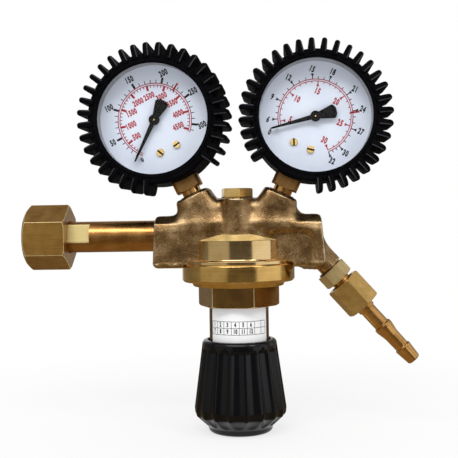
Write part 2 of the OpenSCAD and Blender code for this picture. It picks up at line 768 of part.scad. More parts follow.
module bonnet() color(BRASS) at_axis() difference() {
    union() {
        translate([0, 0, bonnet_z]) rotate_extrude() polygon([[0, 0], [bonnet_d / 2 - 0.8, 0],
            [bonnet_d / 2, 0.8], [bonnet_d / 2, bonnet_flange_h - 0.5],
            [bonnet_d / 2 - 0.5, bonnet_flange_h], [0, bonnet_flange_h]]);
        translate([0, 0, bonnet_z - neck_ring_h])
            cylinder(d1 = neck_ring_d - neck_ring_h, d2 = neck_ring_d, h = neck_ring_h + eps);
        translate([0, 0, hex_z]) rotate([0, 0, bonnet_hex_turn - 90])
            hex_bar(bonnet_af, bonnet_hex_h + eps, 1.4, 0);
        translate([0, 0, tube_end_z]) cylinder(d = tube_d, h = tube_l + eps);
    }
    translate([0, 0, ledge_z]) cylinder(d = spigot_d + fit_gap, h = 2 * bonnet_flange_h);
    translate([0, 0, ledge_z - plate_t - plate_boss_h])
        cylinder(d = plate_d + 4, h = plate_t + plate_boss_h + over);
    translate([0, 0, tube_end_z + end_wall]) cylinder(d = tube_bore_d, h = ledge_z - tube_end_z - end_wall);
    translate([0, 0, tube_end_z - over]) cylinder(d = screw_d + 2 * pin_gap, h = end_wall + 2 * over);
    // Vent at the back
    translate([0, 0, hex_z + bonnet_hex_h / 2]) along_y() cylinder(d = vent_d, h = bonnet_af);
}

module main_spring() color(STEEL) at_axis() translate([0, 0, button_z + button_t])
    coil(spring_d / 2, spring_wire_d, plate_z - button_z - button_t, spring_coils);

module spring_button() color(STEEL) at_axis() translate([0, 0, button_z]) difference() {
    union() {
        cylinder(d = tube_bore_d - 4 * turn_gap, h = button_t);
        cylinder(d = centring_d, h = button_t + plate_boss_h);
    }
    translate([0, 0, -eps]) cylinder(d1 = screw_d / 2 + 2 * turn_gap, d2 = turn_gap, h = cone_h + 0.2);
}

module adjusting_screw() color(STEEL) at_axis() {
    translate([0, 0, button_z - turn_gap]) cylinder(d1 = screw_d / 2, d2 = 2 * turn_gap, h = cone_h);
    translate([0, 0, knob_floor_z - screw_sink])
        cylinder(d = screw_d, h = button_z - turn_gap - knob_floor_z + screw_sink);
    translate([0, 0, knob_floor_z - 2 * screw_sink]) hex_bar(screw_hex_af, screw_hex_h);
}

// Label

module label() color("#f2f2ef") at_axis() translate([0, 0, hex_z - turn_gap - label_h])
    rotate([0, 0, label_start - 90]) rotate_extrude(angle = label_wrap)
        translate([tube_d / 2 + eps, 0]) square([label_t, label_h]);

// Knob

module knob_envelope() {
    top_r = knob_top_d / 2;
    max_r = knob_d / 2;
    foot_r = knob_d * 0.35;
    rotate_extrude() polygon(rounded([[0, 0, 0], [foot_r, 0, 2.4], [foot_r, foot_h, 0.8],
        [max_r - 0.6, belly_h - 2.4, 4.5], [max_r, belly_h, 4], [top_r, knob_h - rim_h, 6],
        [top_r - 0.4, knob_h, 2.4], [0, knob_h, 0]]));
}

module knob() color(BLACK) at_axis() translate([0, 0, knob_z]) difference() {
    lean = atan((knob_d - knob_top_d) / 2 / (knob_h - belly_h - rim_h));
    knob_envelope();
    intersection() {
        for (i = [0:knob_flutes - 1]) rotate([0, 0, i * 360 / knob_flutes - 90])
            translate([knob_top_d / 2 - flute_depth + flute_r, 0, knob_h - rim_h])
                rotate([0, 180 - lean, 0]) translate([0, 0, -rim_h])
                    cylinder(r = flute_r, h = knob_h + 2 * rim_h, $fn = 48);
        cylinder(d = 2 * knob_d, h = knob_h - rim_h);
    }
    translate([0, 0, knob_floor]) cylinder(d = knob_bore_d, h = knob_h);
    translate([0, 0, knob_floor - screw_sink]) cylinder(d = screw_d, h = screw_sink + over);
    translate([0, 0, knob_floor - 2 * screw_sink])
        cylinder(r = screw_hex_af / 2 / cos(30), h = screw_hex_h, $fn = 6);
}

// Outlet

module outlet_adapter() color(BRASS) difference() {
    union() {
        along_outlet(outlet_boss_s - adapter_stub_l)
            cylinder(d = adapter_neck_d, h = adapter_stub_l + 2 * adapter_washer_t);
        along_outlet(adapter_s) hex_bar(adapter_af, adapter_hex_l - adapter_washer_t, 0.4, 0.9);
        along_outlet(adapter_s) cylinder(d = adapter_neck_d, h = outlet_nut_s - adapter_s + 2 * thread_start);
        along_outlet(outlet_nut_s + thread_start)
            cylinder(d = outlet_thread_d, h = outlet_thread_l - thread_start);
    }
    along_outlet(0) cylinder(d = barb_bore_d, h = nut_end_s);
}

module adapter_washer() color("#b5683c") along_outlet(outlet_boss_s)
    ring(adapter_af / 2 - 0.4, adapter_neck_d / 2 + fit_gap, adapter_washer_t);

module outlet_nut() color(BRASS) difference() {
    along_outlet(outlet_nut_s) rotate([0, 0, outlet_nut_turn + 90])
        hex_bar(outlet_nut_af, outlet_nut_l, 0.9, 0.9);
    along_outlet(outlet_nut_s - over)
        cylinder(d = outlet_thread_d + 2 * turn_gap, h = nut_shoulder_s - outlet_nut_s + over);
    along_outlet(outlet_nut_s) cylinder(d = barb_collar_d + 2 * turn_gap, h = outlet_nut_l + over);
}

module hose_barb() color(BRASS) along_outlet() difference() {
    first = nut_end_s + barb_tail_l;
    second = first + ridge_pitch;
    tip = second + tip_l;
    head_end = barb_head_s + barb_head_l;
    collar_end = nut_end_s + barb_collar_l;
    rotate_extrude() polygon([[0, barb_head_s], [barb_head_d / 2, barb_head_s], [barb_head_d / 2, head_end],
        [barb_collar_d / 2, head_end], [barb_collar_d / 2, collar_end - barb_edge],
        [barb_collar_d / 2 - barb_edge, collar_end], [barb_d / 2, collar_end],
        [barb_d / 2, first - barb_edge], [ridge_d / 2, first], [ridge_d / 2, first + ridge_land],
        [barb_foot_d / 2, second - barb_edge],
        [tip_ridge_d / 2, second], [barb_foot_d / 2, tip - barb_edge], [barb_foot_d / 2 - barb_edge, tip],
        [0, tip]]);
    translate([0, 0, barb_head_s - over]) cylinder(d = barb_bore_d, h = tip);
}

// Gauges

// The part of the socket inside the case, which carries the tube and the movement
module socket_block() {
    w = socket_block_w;
    low = case_in_r - 3;
    translate([-w / 2, front_y, -boot_r - over])
        cube([w, socket_af / 2 - front_y, boot_r + over - socket_top]);
    translate([-w / 2, front_y, -low]) cube([w, inner_y - front_y, low - socket_top]);
}

module socket(side) color(BRASS) at_gauge(side) difference() {
    back = socket_af / 4;
    cross_z = -gauge_reach + 7;
    union() {
        translate([0, 0, -socket_low]) linear_extrude(socket_low - boot_r) intersection() {
            square(socket_af, center = true);
            rotate(45) square(socket_corner_af, center = true);
        }
        socket_block();
        translate([0, 0, -gauge_reach]) cylinder(d = socket_neck_d, h = socket_neck_l + over);
        translate([0, 0, -gauge_reach - socket_thread_l]) cylinder(d = socket_thread_d, h = socket_thread_l);
    }
    translate([0, 0, -gauge_reach - socket_thread_l - over])
        cylinder(d = passage_d, h = cross_z + gauge_reach + socket_thread_l + 2 * over);
    translate([0, back, cross_z - over]) cylinder(d = socket_passage_d, h = -bourdon_r - cross_z + over);
    translate([0, 0, cross_z]) along_y() cylinder(d = socket_passage_d, h = back + over);
    translate([-socket_block_w, back, -bourdon_r]) along_x()
        cylinder(d = socket_passage_d, h = socket_block_w);
}

module stem_washer(side) color("#b5683c") at_gauge(side) translate([0, 0, -gauge_reach])
    ring(socket_neck_d / 2 + 1.8, socket_neck_d / 2 + fit_gap, stem_washer_t);

module case(side) color(STEEL) at_gauge(side) difference() {
    rotate([90, 0, 0]) translate([0, 0, -case_back]) cylinder(r = case_r, h = case_front + case_back);
    rotate([90, 0, 0]) translate([0, 0, -inner_y]) cylinder(r = case_in_r, h = case_d);
    translate([-socket_block_w / 2 - fit_gap, front_y - fit_gap, -case_r - over])
        cube([socket_block_w + 2 * fit_gap, socket_af / 2 - front_y + 2 * fit_gap, case_r - socket_top]);
}

// The boot's section, as [radius, depth in front of the stem axis]
function boot_section() =
    let (lip_y = case_front + window_t, front = lip_y + boot_lip, open_r = boot_open_d / 2,
         back = -case_back - boot_back_t)
    rounded([[open_r, lip_y, 0], [open_r, front - 0.9, 0.8], [open_r + 1.3, front, 0.8],
        [boot_r + 1, front, 1.2], [boot_r + 1.9, front - 3.4, 1], [boot_r + boot_wall, 1 - case_back, 0],
        [boot_r + boot_wall, back, 1.2], [boot_back_r, back, 0.6],
        [boot_back_r, -case_back, 0], [boot_r, -case_back, 0], [boot_r, lip_y, 0]], 3);

module fin() {
    translate([-fin_t / 2, fin_inner_r]) square([fin_t, fin_tip_r - fin_inner_r - fin_t / 2]);
    translate([0, fin_tip_r - fin_t / 2]) circle(d = fin_t, $fn = 24);
    translate([0, fin_inner_r]) circle(d = fin_t, $fn = 24);
}

module fins() {
    pitch = 360 / fin_places;
    depth = case_front + window_t + boot_lip + case_back;
    for (i = [0:fin_places - 1])
        if (abs((i + 0.5) * pitch - 180) > fin_free)
            rotate([0, (i + 0.5) * pitch, 0]) rotate([90, 0, 0])
                translate([0, 0, -case_back + 0.5]) linear_extrude(depth) fin();
}

module boot(side) color(RUBBER) at_gauge(side) difference() {
    slot = socket_af + 2 * turn_gap;
    union() {
        rotate([90, 0, 0]) rotate_extrude() polygon(boot_section());
        difference() {
            fins();
            rotate([90, 0, 0]) translate([0, 0, -case_back - over])
                cylinder(r = boot_r, h = case_front + case_back + window_t + over);
        }
    }
    translate([-slot / 2, -slot / 2, -fin_tip_r]) cube([slot, slot, fin_tip_r - boot_back_r + 7]);
}

// A cylinder in front of the stem axis at each dial screw, from depth y0 to y1
module at_dial_screws(r, y0, y1) {
    for (a = dial_screw_angles) rotate([90, 0, 0]) rotate([0, 0, a])
        translate([dial_screw_r, 0, y0]) cylinder(r = r, h = y1 - y0);
}

module dial(side) color("#dfe6ee") at_gauge(side) difference() {
    rotate([90, 0, 0]) translate([0, 0, dial_y - dial_t]) cylinder(r = case_in_r - 0.6, h = dial_t);
    rotate([90, 0, 0]) cylinder(r = arbor_d / 2 + turn_gap, h = 2 * dial_y);
    at_dial_screws(dial_screw_d / 2 + fit_gap, 0, 2 * dial_y);
}

module dial_screws(side) color(BRIGHT) at_gauge(side) {
    for (a = dial_screw_angles) rotate([90, 0, 0]) rotate([0, 0, a]) translate([dial_screw_r, 0, dial_y])
        cylinder(d1 = dial_screw_head_d, d2 = dial_screw_head_d - 0.6, h = dial_screw_head_h);
    at_dial_screws(dial_screw_d / 2, dial_y - dial_screw_l, dial_y + eps);
}

module window(side) color("#cfe4ee", 0.3) at_gauge(side)
    rotate([90, 0, 0]) translate([0, 0, case_front]) cylinder(r = case_r - window_gap, h = window_t);

// Pointer, drawn at its rest angle
module pointer(side) color(BLACK) at_gauge(side) rotate([0, -pointer_rest, 0]) {
    half_tip = tip_w / 2;
    paddle = [[0, 1.3, 0], [-counter_l * 0.88, 3.7, 1.2], [-counter_l, 1.5, 1.5]];
    plate(pointer_y, pointer_t) difference() {
        union() {
            polygon([[0, 1.3], [pointer_l - 1, half_tip], [pointer_l, 0], [pointer_l - 1, -half_tip],
                [0, -1.3]]);
            circle(r = hub_r);
            polygon(rounded(concat(paddle,
                [for (i = [2:-1:0]) [paddle[i][0], -paddle[i][1], paddle[i][2]]])));
        }
        circle(d = arbor_tip_d);
    }
    plate(pointer_y - hub_t / 3, hub_t) difference() {
        circle(r = hub_r);
        circle(d = arbor_tip_d);
    }
}

// Tooth outline of a gear, as [radius, angle] corners from tooth a to tooth b
function teeth(m, count, a, b) =
    let (r = m * count / 2, pitch = 360 / count, root = r - 1.1 * m, tip = r + 0.75 * m)
    [for (i = [a:b]) each [[root, (i - 0.28) * pitch], [r, (i - 0.19) * pitch], [tip, (i - 0.09) * pitch],
        [tip, (i + 0.09) * pitch], [r, (i + 0.19) * pitch], [root, (i + 0.28) * pitch]]];
function polar(pts) = [for (p = pts) p[0] * [cos(p[1]), sin(p[1])]];

// Pinion and its arbor
module pinion(side) color(BRIGHT) at_gauge(side) {
    phase = sector_angle + 180 / pinion_teeth;
    plate(gear_y - gear_t / 2, 2 * gear_t) rotate(phase)
        polygon(polar(teeth(gear_module, pinion_teeth, 0, pinion_teeth - 1)));
    shoulder_y = pointer_y + hub_t * 2 / 3;
    plate(shoulder_y, front_y - movement_t / 2 - shoulder_y) circle(d = arbor_d);
    plate(pointer_y - hub_t / 4, shoulder_y - pointer_y + hub_t / 4 + eps) circle(d = arbor_tip_d);
}

module stop_pin(side) color(BLACK) at_gauge(side)
    rotate([0, -pointer_rest - stop_lead, 0]) translate([stop_r, 0, 0]) rotate([90, 0, 0])
        translate([0, 0, dial_y]) cylinder(d = stop_pin_d, h = stop_pin_l, $fn = 24);

module bourdon_tube(side) color(BRASS) at_gauge(side) {
    sweep = bourdon_start - bourdon_end;
    mid_y = (front_y + inner_y) / 2;
    difference() {
        translate([0, mid_y, 0]) rotate([90, 0, 0]) rotate([0, 0, bourdon_end]) rotate_extrude(angle = sweep)
            translate([bourdon_r, 0]) difference() {
                square([bourdon_t, bourdon_w], center = true);
                square([bourdon_t - 2 * tube_skin, bourdon_w - 2 * tube_skin], center = true);
            }
        socket_block();
    }
    // Cap and lug at the closed tip
    plate(mid_y - bourdon_w / 2, bourdon_w) rotate(bourdon_end) translate([bourdon_r - bourdon_t / 2, -lug_w])
        square([bourdon_t, lug_w + eps]);
    plate(lug_y, lug_t) rotate(bourdon_end) translate([bourdon_r - lug_l, -lug_w]) square([lug_l, lug_w]);
}

module movement_frame(side) color(BRIGHT) at_gauge(side) difference() {
    movement_plates();
    at_dial_screws(dial_screw_d / 2 + pin_gap, dial_y - dial_screw_l - 0.5, 2 * dial_y);
}

module movement_plates() {
    top = shaft_wall + 1;
    outline = rounded([[-plate_half_w, -plate_low, 1], [plate_half_w, -plate_low, 1],
        [sector_pos[0] + shaft_wall, sector_pos[1], 1.5], [top, top, 1.5], [-top, top, 1.5]]);
    for (y = [front_y - movement_t, plate_y]) plate(y, movement_t) difference() {
        polygon(outline);
        circle(r = arbor_d / 2 + pin_gap);
        translate(sector_pos) circle(r = sector_shaft_d / 2 + pin_gap);
    }
    // Pillar between the plates, and the two posts that also carry the dial
    translate([pillar_pos[0], front_y - movement_t / 2, pillar_pos[1]]) rotate([90, 0, 0])
        cylinder(r = pillar_r, h = front_y - plate_y - movement_t);
    at_dial_screws(post_r, movement_t / 2 - front_y, dial_y - dial_t);
}

module sector_gear(side) color(BRASS) at_gauge(side) translate([sector_pos[0], 0, sector_pos[1]]) {
    facing = sector_angle + 180;
    first = -ceil(pointer_sweep * pinion_teeth / 360 + 1);
    plate(gear_y, gear_t) polygon(concat([[0, -1.8], [1.8, -1.2], [1.8, 1.2], [0, 1.8]],
        polar([for (q = teeth(gear_module, sector_teeth, first, 1)) [q[0], q[1] + facing]])));
    plate(gear_y, gear_t) polygon([[0, 1.4], [sector_tail_l, 1.3], [sector_tail_l + 1.1, 0.8],
        [sector_tail_l + 1.1, -0.8], [sector_tail_l, -1.3], [0, -1.4]]);
    plate(plate_y + 0.1, front_y - plate_y - 0.2) circle(d = sector_shaft_d);
    translate([sector_tail_l, 0, 0]) plate(gear_y, lug_y - turn_gap - gear_y) circle(d = link_pin_d);
}

module link(side) color(STEEL) at_gauge(side) {
    tip = (bourdon_r - lug_l + 0.8) * [cos(bourdon_end), sin(bourdon_end)];
    run = tip - tail_pin;
    translate([tail_pin[0], 0, tail_pin[1]]) rotate([0, -atan2(run[1], run[0]), 0])
        plate(lug_y - turn_gap - link_t, link_t) difference() {
            hull() {
                circle(d = link_w, $fn = 32);
                translate([norm(run), 0]) circle(d = link_w, $fn = 32);
            }
            circle(r = link_pin_d / 2 + pin_gap);
        }
}

body();
inlet_nut();
inlet_pipe();
inlet_seal();
inlet_filter();
valve_plug();
plug_washer();
poppet_spring();
poppet();
valve_seat();
push_pin();
diaphragm();
diaphragm_plate();
plate_nut();
slip_ring();
bonnet();
main_spring();
spring_button();
adjusting_screw();
knob();
label();
outlet_adapter();
adapter_washer();
outlet_nut();
hose_barb();
socket(-1);  // left_socket
stem_washer(-1);  // left_stem_washer
case(-1);  // left_case
boot(-1);  // left_boot
dial(-1);  // left_dial
dial_screws(-1);  // left_dial_screws
window(-1);  // left_window
pointer(-1);  // left_pointer
pinion(-1);  // left_pinion
stop_pin(-1);  // left_stop_pin
bourdon_tube(-1);  // left_bourdon_tube
movement_frame(-1);  // left_movement_frame
sector_gear(-1);  // left_sector_gear
link(-1);  // left_link
socket(1);  // right_socket
stem_washer(1);  // right_stem_washer
case(1);  // right_case
boot(1);  // right_boot
dial(1);  // right_dial
dial_screws(1);  // right_dial_screws
window(1);  // right_window
pointer(1);  // right_pointer
pinion(1);  // right_pinion
stop_pin(1);  // right_stop_pin
bourdon_tube(1);  // right_bourdon_tube
movement_frame(1);  // right_movement_frame
sector_gear(1);  // right_sector_gear
link(1);  // right_link
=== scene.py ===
"""Looks of a two-gauge pressure regulator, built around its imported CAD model.

Sizes in the classes are millimetres. Each mesh is drawn in a local frame and placed by a matrix
that also turns millimetres into metres. X runs along the inlet axis into the regulator, Y from the
dials to the back, and Z up along the axis of the valve and the knob.
"""

from __future__ import annotations

import json
import logging
import math
from dataclasses import dataclass
from enum import Enum
from typing import Callable, Iterable, Sequence

import bmesh
import bpy
import numpy as np
from mathutils import Matrix, Vector

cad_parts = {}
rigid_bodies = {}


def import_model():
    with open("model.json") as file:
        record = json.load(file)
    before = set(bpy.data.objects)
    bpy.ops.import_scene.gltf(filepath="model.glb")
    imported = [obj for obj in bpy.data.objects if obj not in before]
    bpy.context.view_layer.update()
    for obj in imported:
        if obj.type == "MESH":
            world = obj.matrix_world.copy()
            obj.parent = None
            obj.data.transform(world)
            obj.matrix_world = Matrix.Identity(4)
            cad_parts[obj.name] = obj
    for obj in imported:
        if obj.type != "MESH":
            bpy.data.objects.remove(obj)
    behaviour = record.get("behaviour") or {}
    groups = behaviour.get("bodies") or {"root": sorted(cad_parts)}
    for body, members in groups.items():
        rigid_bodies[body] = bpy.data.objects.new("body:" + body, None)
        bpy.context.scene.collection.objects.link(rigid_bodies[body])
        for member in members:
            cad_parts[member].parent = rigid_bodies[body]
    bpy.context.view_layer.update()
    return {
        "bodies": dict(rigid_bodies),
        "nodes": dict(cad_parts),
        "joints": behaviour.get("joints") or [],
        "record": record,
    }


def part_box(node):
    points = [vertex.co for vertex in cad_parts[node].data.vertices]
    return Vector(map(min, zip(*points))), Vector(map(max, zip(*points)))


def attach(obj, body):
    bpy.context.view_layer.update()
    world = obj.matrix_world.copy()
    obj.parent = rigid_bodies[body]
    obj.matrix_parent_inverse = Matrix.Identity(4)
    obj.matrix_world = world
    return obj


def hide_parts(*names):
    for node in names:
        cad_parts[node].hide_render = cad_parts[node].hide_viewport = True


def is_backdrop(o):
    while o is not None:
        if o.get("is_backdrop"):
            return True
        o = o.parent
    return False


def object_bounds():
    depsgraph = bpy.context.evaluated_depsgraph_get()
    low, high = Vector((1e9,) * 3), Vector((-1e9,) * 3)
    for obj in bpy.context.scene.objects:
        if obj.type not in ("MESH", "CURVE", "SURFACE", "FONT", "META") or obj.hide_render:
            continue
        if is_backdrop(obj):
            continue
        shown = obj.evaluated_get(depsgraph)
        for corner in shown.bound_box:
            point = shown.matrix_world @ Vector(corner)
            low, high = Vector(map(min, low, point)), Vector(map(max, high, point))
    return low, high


LOG = logging.getLogger("regulator")
MM = 0.001
TO_METRES = Matrix.Diagonal((MM, MM, MM, 1))
ROOT = "regulator"
WEAR_AND_SHEEN = "wear_and_sheen"
SIDES = {-1: "left", 1: "right"}
GAUGE_TILT = math.radians(25)
OUTLET_SLOPE = math.radians(48)
OUTLET_WAY = (math.cos(OUTLET_SLOPE), 0.0, -math.sin(OUTLET_SLOPE))
# Place of the outlet axis along X, from the valve axis, in millimetres
OUTLET_X = 31.2
# Thickness of a printed ink, in millimetres, drawn coarser than real so that it stays above its sheet
INK_THICK = 0.02
BAR_PER_PSI = 0.0689
Point = tuple[float, float]
Corner = tuple[float, float, float]
Mesh = tuple[np.ndarray, list[Sequence[int]]]


# Shapes


def arc_corner(before: Point, at: Point, after: Point, radius: float, steps: int) -> list[Point]:
    """Rounds one corner of an outline.

    Args:
        before: The corner before it.
        at: The corner itself.
        after: The corner after it.
        radius: Radius of the arc.
        steps: Number of chords in the arc.

    Returns:
        The points of the arc, or the corner alone where the radius is 0.
    """
    if radius == 0:
        return [at]
    a, b, c = (Vector(p) for p in (before, at, after))
    u, v = (a - b).normalized(), (c - b).normalized()
    half = u.angle(v) / 2
    middle = b + (u + v).normalized() * radius / math.sin(half)
    start, end = b + u * radius / math.tan(half) - middle, b + v * radius / math.tan(half) - middle
    turn = start.angle_signed(end)
    return [tuple(middle + Matrix.Rotation(-turn * i / steps, 2) @ start) for i in range(steps + 1)]


def rounded(corners: Sequence[Corner], steps: int = 5) -> list[Point]:
    """Rounds a closed outline.

    Args:
        corners: Its corners, each with the radius of its arc.
        steps: Number of chords in each arc.

    Returns:
        The points of the rounded outline.
    """
    count = len(corners)
    flat = [(x, y) for x, y, _ in corners]
    points: list[Point] = []
    for i, (_, _, radius) in enumerate(corners):
        points += arc_corner(flat[i - 1], flat[i], flat[(i + 1) % count], radius, steps)
    return points


def mirrored(side: Sequence[Corner]) -> list[Corner]:
    """Returns the corners of half an outline and of its mirror image across its second axis."""
    return [*side, *[(-x, y, radius) for x, y, radius in reversed(side)]]


def swept(rows: Sequence[Callable[[float], Point]], angles: Sequence[float]) -> Mesh:
    """Joins rows of points around the Z axis into a closed skin.

    Args:
        rows: One function for each row, from an angle in radians to its radius and height.
        angles: The angles of the columns.

    Returns:
        The vertices and faces of a ring-shaped skin.
    """
    verts = []
    for angle in angles:
        for row in rows:
            radius, height = row(angle)
            verts.append((radius * math.cos(angle), radius * math.sin(angle), height))
    count, columns = len(rows), len(angles)
    faces = []
    for c in range(columns):
        for r in range(count):
            low, high = c * count, (c + 1) % columns * count
            faces.append((low + r, low + (r + 1) % count, high + (r + 1) % count, high + r))
    return np.array(verts, float), faces


def even_angles(count: int) -> list[float]:
    """Returns that many angles, evenly spread over a full turn, in radians."""
    return [2 * math.pi * i / count for i in range(count)]


def revolved(outline: Sequence[Point], columns: int = 96) -> Mesh:
    """Turns a closed outline of (radius, height) points around the Z axis."""
    return swept([lambda _a, p=p: p for p in outline], even_angles(columns))


def joined(meshes: Iterable[Mesh]) -> Mesh:
    """Returns several meshes as one."""
    verts, faces, start = [], [], 0
    for points, sides in meshes:
        verts.append(points)
        faces += [tuple(i + start for i in side) for side in sides]
        start += len(points)
    return np.vstack(verts), faces


def moved(mesh: Mesh, spot: Matrix) -> Mesh:
    """Returns a mesh carried to another frame by a matrix."""
    turn = np.array(spot.to_3x3())
    return mesh[0] @ turn.T + np.array(spot.translation), mesh[1]


def lofted(loops: Sequence[np.ndarray]) -> Mesh:
    """Joins equal loops of points into a skin that is closed at both ends.

    Args:
        loops: The loops in order, each an array of as many corners as the others.

    Returns:
        The skin, in the loops' own units.
    """
    count = len(loops[0])
    last = (len(loops) - 1) * count
    faces: list[Sequence[int]] = [tuple(reversed(range(count))), tuple(range(last, last + count))]
    for start in range(0, last, count):
        for i in range(count):
            j = (i + 1) % count
            faces.append((start + i, start + j, start + count + j, start + count + i))
    return np.vstack(loops), faces


def slab(outline: Sequence[Point], low: float, high: float) -> Mesh:
    """Extrudes a closed outline from one height to another along the Z axis."""
    return lofted([np.array([(x, y, z) for x, y in outline], float) for z in (low, high)])


def wrapped(section: Sequence[Point], first: float, last: float, steps: int) -> Mesh:
    """Sweeps a closed section part of the way round the Z axis.

    Args:
        section: Its (radius, height) points.
        first: Direction in degrees at which it starts.
        last: Direction at which it ends.
        steps: Number of straight steps.

    Returns:
        The closed skin.
    """
    angles = [math.radians(first + (last - first) * i / steps) for i in range(steps + 1)]
    return lofted([np.array([(r * math.cos(a), r * math.sin(a), z) for r, z in section]) for a in angles])


@dataclass(frozen=True)
class Bar:
    """A bar with flat sides, coned ends and a stepped bore along the Z axis.

    Attributes:
        flats: The direction in degrees and the distance from the axis of each flat side.
        length: Length along the axis.
        bore: The bore's outline, as (radius, height) points from its low end to its high end.
        low_cut: Radial width of the cone at the low end, from the corners inwards.
        high_cut: The same at the high end.
        slope: Rise of each cone for a millimetre of radius.
    """

    flats: tuple[Point, ...]
    length: float
    bore: tuple[Point, ...]
    low_cut: float = 0.0
    high_cut: float = 0.0
    slope: float = math.tan(math.radians(30))

    def radius(self, angle: float) -> float:
        """Distance of the outside from the axis in one direction."""
        reach = [d / math.cos(angle - math.radians(a)) for a, d in self.flats
                 if math.cos(angle - math.radians(a)) > 0.1]
        return min(reach)

    def angles(self) -> list[float]:
        """The directions of the columns: an even spread and the bar's own corners."""
        corners = []
        ordered = sorted(self.flats)
        for (a, p), (b, q) in zip(ordered, [*ordered[1:], (ordered[0][0] + 360, ordered[0][1])]):
            rows = np.array([[math.cos(math.radians(t)), math.sin(math.radians(t))] for t in (a, b)])
            x, y = np.linalg.solve(rows, [p, q])
            corners.append(math.atan2(y, x) % (2 * math.pi))
        spread = [t for t in even_angles(96) if min(abs(t - c) for c in corners) > 0.02]
        return sorted([*spread, *corners])

    def mesh(self) -> Mesh:
        """Returns the bar's skin."""
        angles = self.angles()
        widest = max(self.radius(a) for a in angles)
        low, high = widest - self.low_cut, widest - self.high_cut

        def lower(angle: float) -> Point:
            """Foot of the side, where the lower chamfer meets the flats."""
            return self.radius(angle), max(0.0, self.radius(angle) - low) * self.slope

        def upper(angle: float) -> Point:
            """Top of the side, where the upper chamfer meets the flats."""
            return self.radius(angle), self.length - max(0.0, self.radius(angle) - high) * self.slope

        rows = [lambda a: (min(self.radius(a), low), 0.0), lower, upper,
                lambda a: (min(self.radius(a), high), self.length)]
        return swept([*rows, *[lambda _a, p=p: p for p in reversed(self.bore)]], angles)


def hexagonal(across: float, turn: float) -> tuple[Point, ...]:
    """Returns the flats of a hexagon bar by its width across flats and one flat's direction."""
    return tuple((turn + 60 * i, across / 2) for i in range(6))


def thread(radius: float, depth: float, pitch: float, low: float, high: float, inside: bool) -> Mesh:
    """Winds a thread's ridge round the Z axis.

    Args:
        radius: Radius of the wall that the ridge stands on.
        depth: Height of the ridge.
        pitch: Rise of each turn.
        low: Height at which the ridge starts.
        high: Height at which it ends.
        inside: Whether it stands on the wall of a bore.

    Returns:
        The closed skin of the ridge.
    """
    per_turn = 40
    steps = round((high - low - pitch) / pitch * per_turn)
    inward = -1 if inside else 1
    section = [(-0.06, -0.44), (1.0, -0.07), (1.0, 0.07), (-0.06, 0.44)]
    loops = []
    for i in range(steps + 1):
        angle = 2 * math.pi * i / per_turn
        fade = min(1.0, i / 8, (steps - i) / 8)
        loop = []
        for out, up in section:
            r = radius + inward * depth * (out * fade if out > 0 else out)
            loop.append((r * math.cos(angle), r * math.sin(angle), low + pitch * (0.5 + i / per_turn + up)))
        loops.append(np.array(loop))
    return lofted(loops)


# Distance fields, for the forging's soft forms


def outline_distance(points: np.ndarray, outline: Sequence[Point]) -> np.ndarray:
    """Signed distance of points in a plane from a closed outline, below 0 inside it.

    Args:
        points: Rows of two coordinates.
        outline: The outline's corners in order.

    Returns:
        One distance for each point.
    """
    corners = np.array(outline, float)
    best = np.full(len(points), np.inf)
    sign = np.ones(len(points))
    for a, b in zip(corners, np.roll(corners, -1, axis=0)):
        edge, away = b - a, points - a
        share = np.clip(away @ edge / (edge @ edge), 0, 1)
        best = np.minimum(best, ((away - share[:, None] * edge) ** 2).sum(1))
        above, below = points[:, 1] >= a[1], points[:, 1] < b[1]
        left = edge[0] * away[:, 1] > edge[1] * away[:, 0]
        flip = (above & below & left) | (~above & ~below & ~left)
        sign = np.where(flip, -sign, sign)
    return sign * np.sqrt(best)


def both(a: np.ndarray, b: np.ndarray, radius: float) -> np.ndarray:
    """Field of what lies inside two forms, with the edge between them rounded to a radius."""
    a, b = a + radius, b + radius
    return np.minimum(np.maximum(a, b), 0) + np.hypot(np.maximum(a, 0), np.maximum(b, 0)) - radius


def blended(a: np.ndarray, b: np.ndarray, radius: float) -> np.ndarray:
    """Field of two forms together, with a fillet of about that radius between them."""
    near = np.maximum(radius - np.abs(a - b), 0) / radius
    return np.minimum(a, b) - near * near * radius / 4


def without(a: np.ndarray, b: np.ndarray, radius: float) -> np.ndarray:
    """Field of one form with another cut out of it."""
    return both(a, -b, radius)


def rod(points: np.ndarray, radius: float, low: float, high: float, edge: float) -> np.ndarray:
    """Field of a cylinder on the Z axis."""
    round_part = np.hypot(points[:, 0], points[:, 1]) - radius
    return both(round_part, np.abs(points[:, 2] - (low + high) / 2) - (high - low) / 2, edge)


def drilled(value: np.ndarray, points: np.ndarray, radius: float, low: float, high: float) -> np.ndarray:
    """Field of a form with a sharp bore cut out of it, along the Z axis of the points' frame."""
    return without(value, rod(points, radius, low, high, 0.0), 0.0)


def local(points: np.ndarray, spot: Matrix) -> np.ndarray:
    """Returns points seen in the frame that a matrix places."""
    back = spot.inverted()
    return points @ np.array(back.to_3x3()).T + np.array(back.translation)


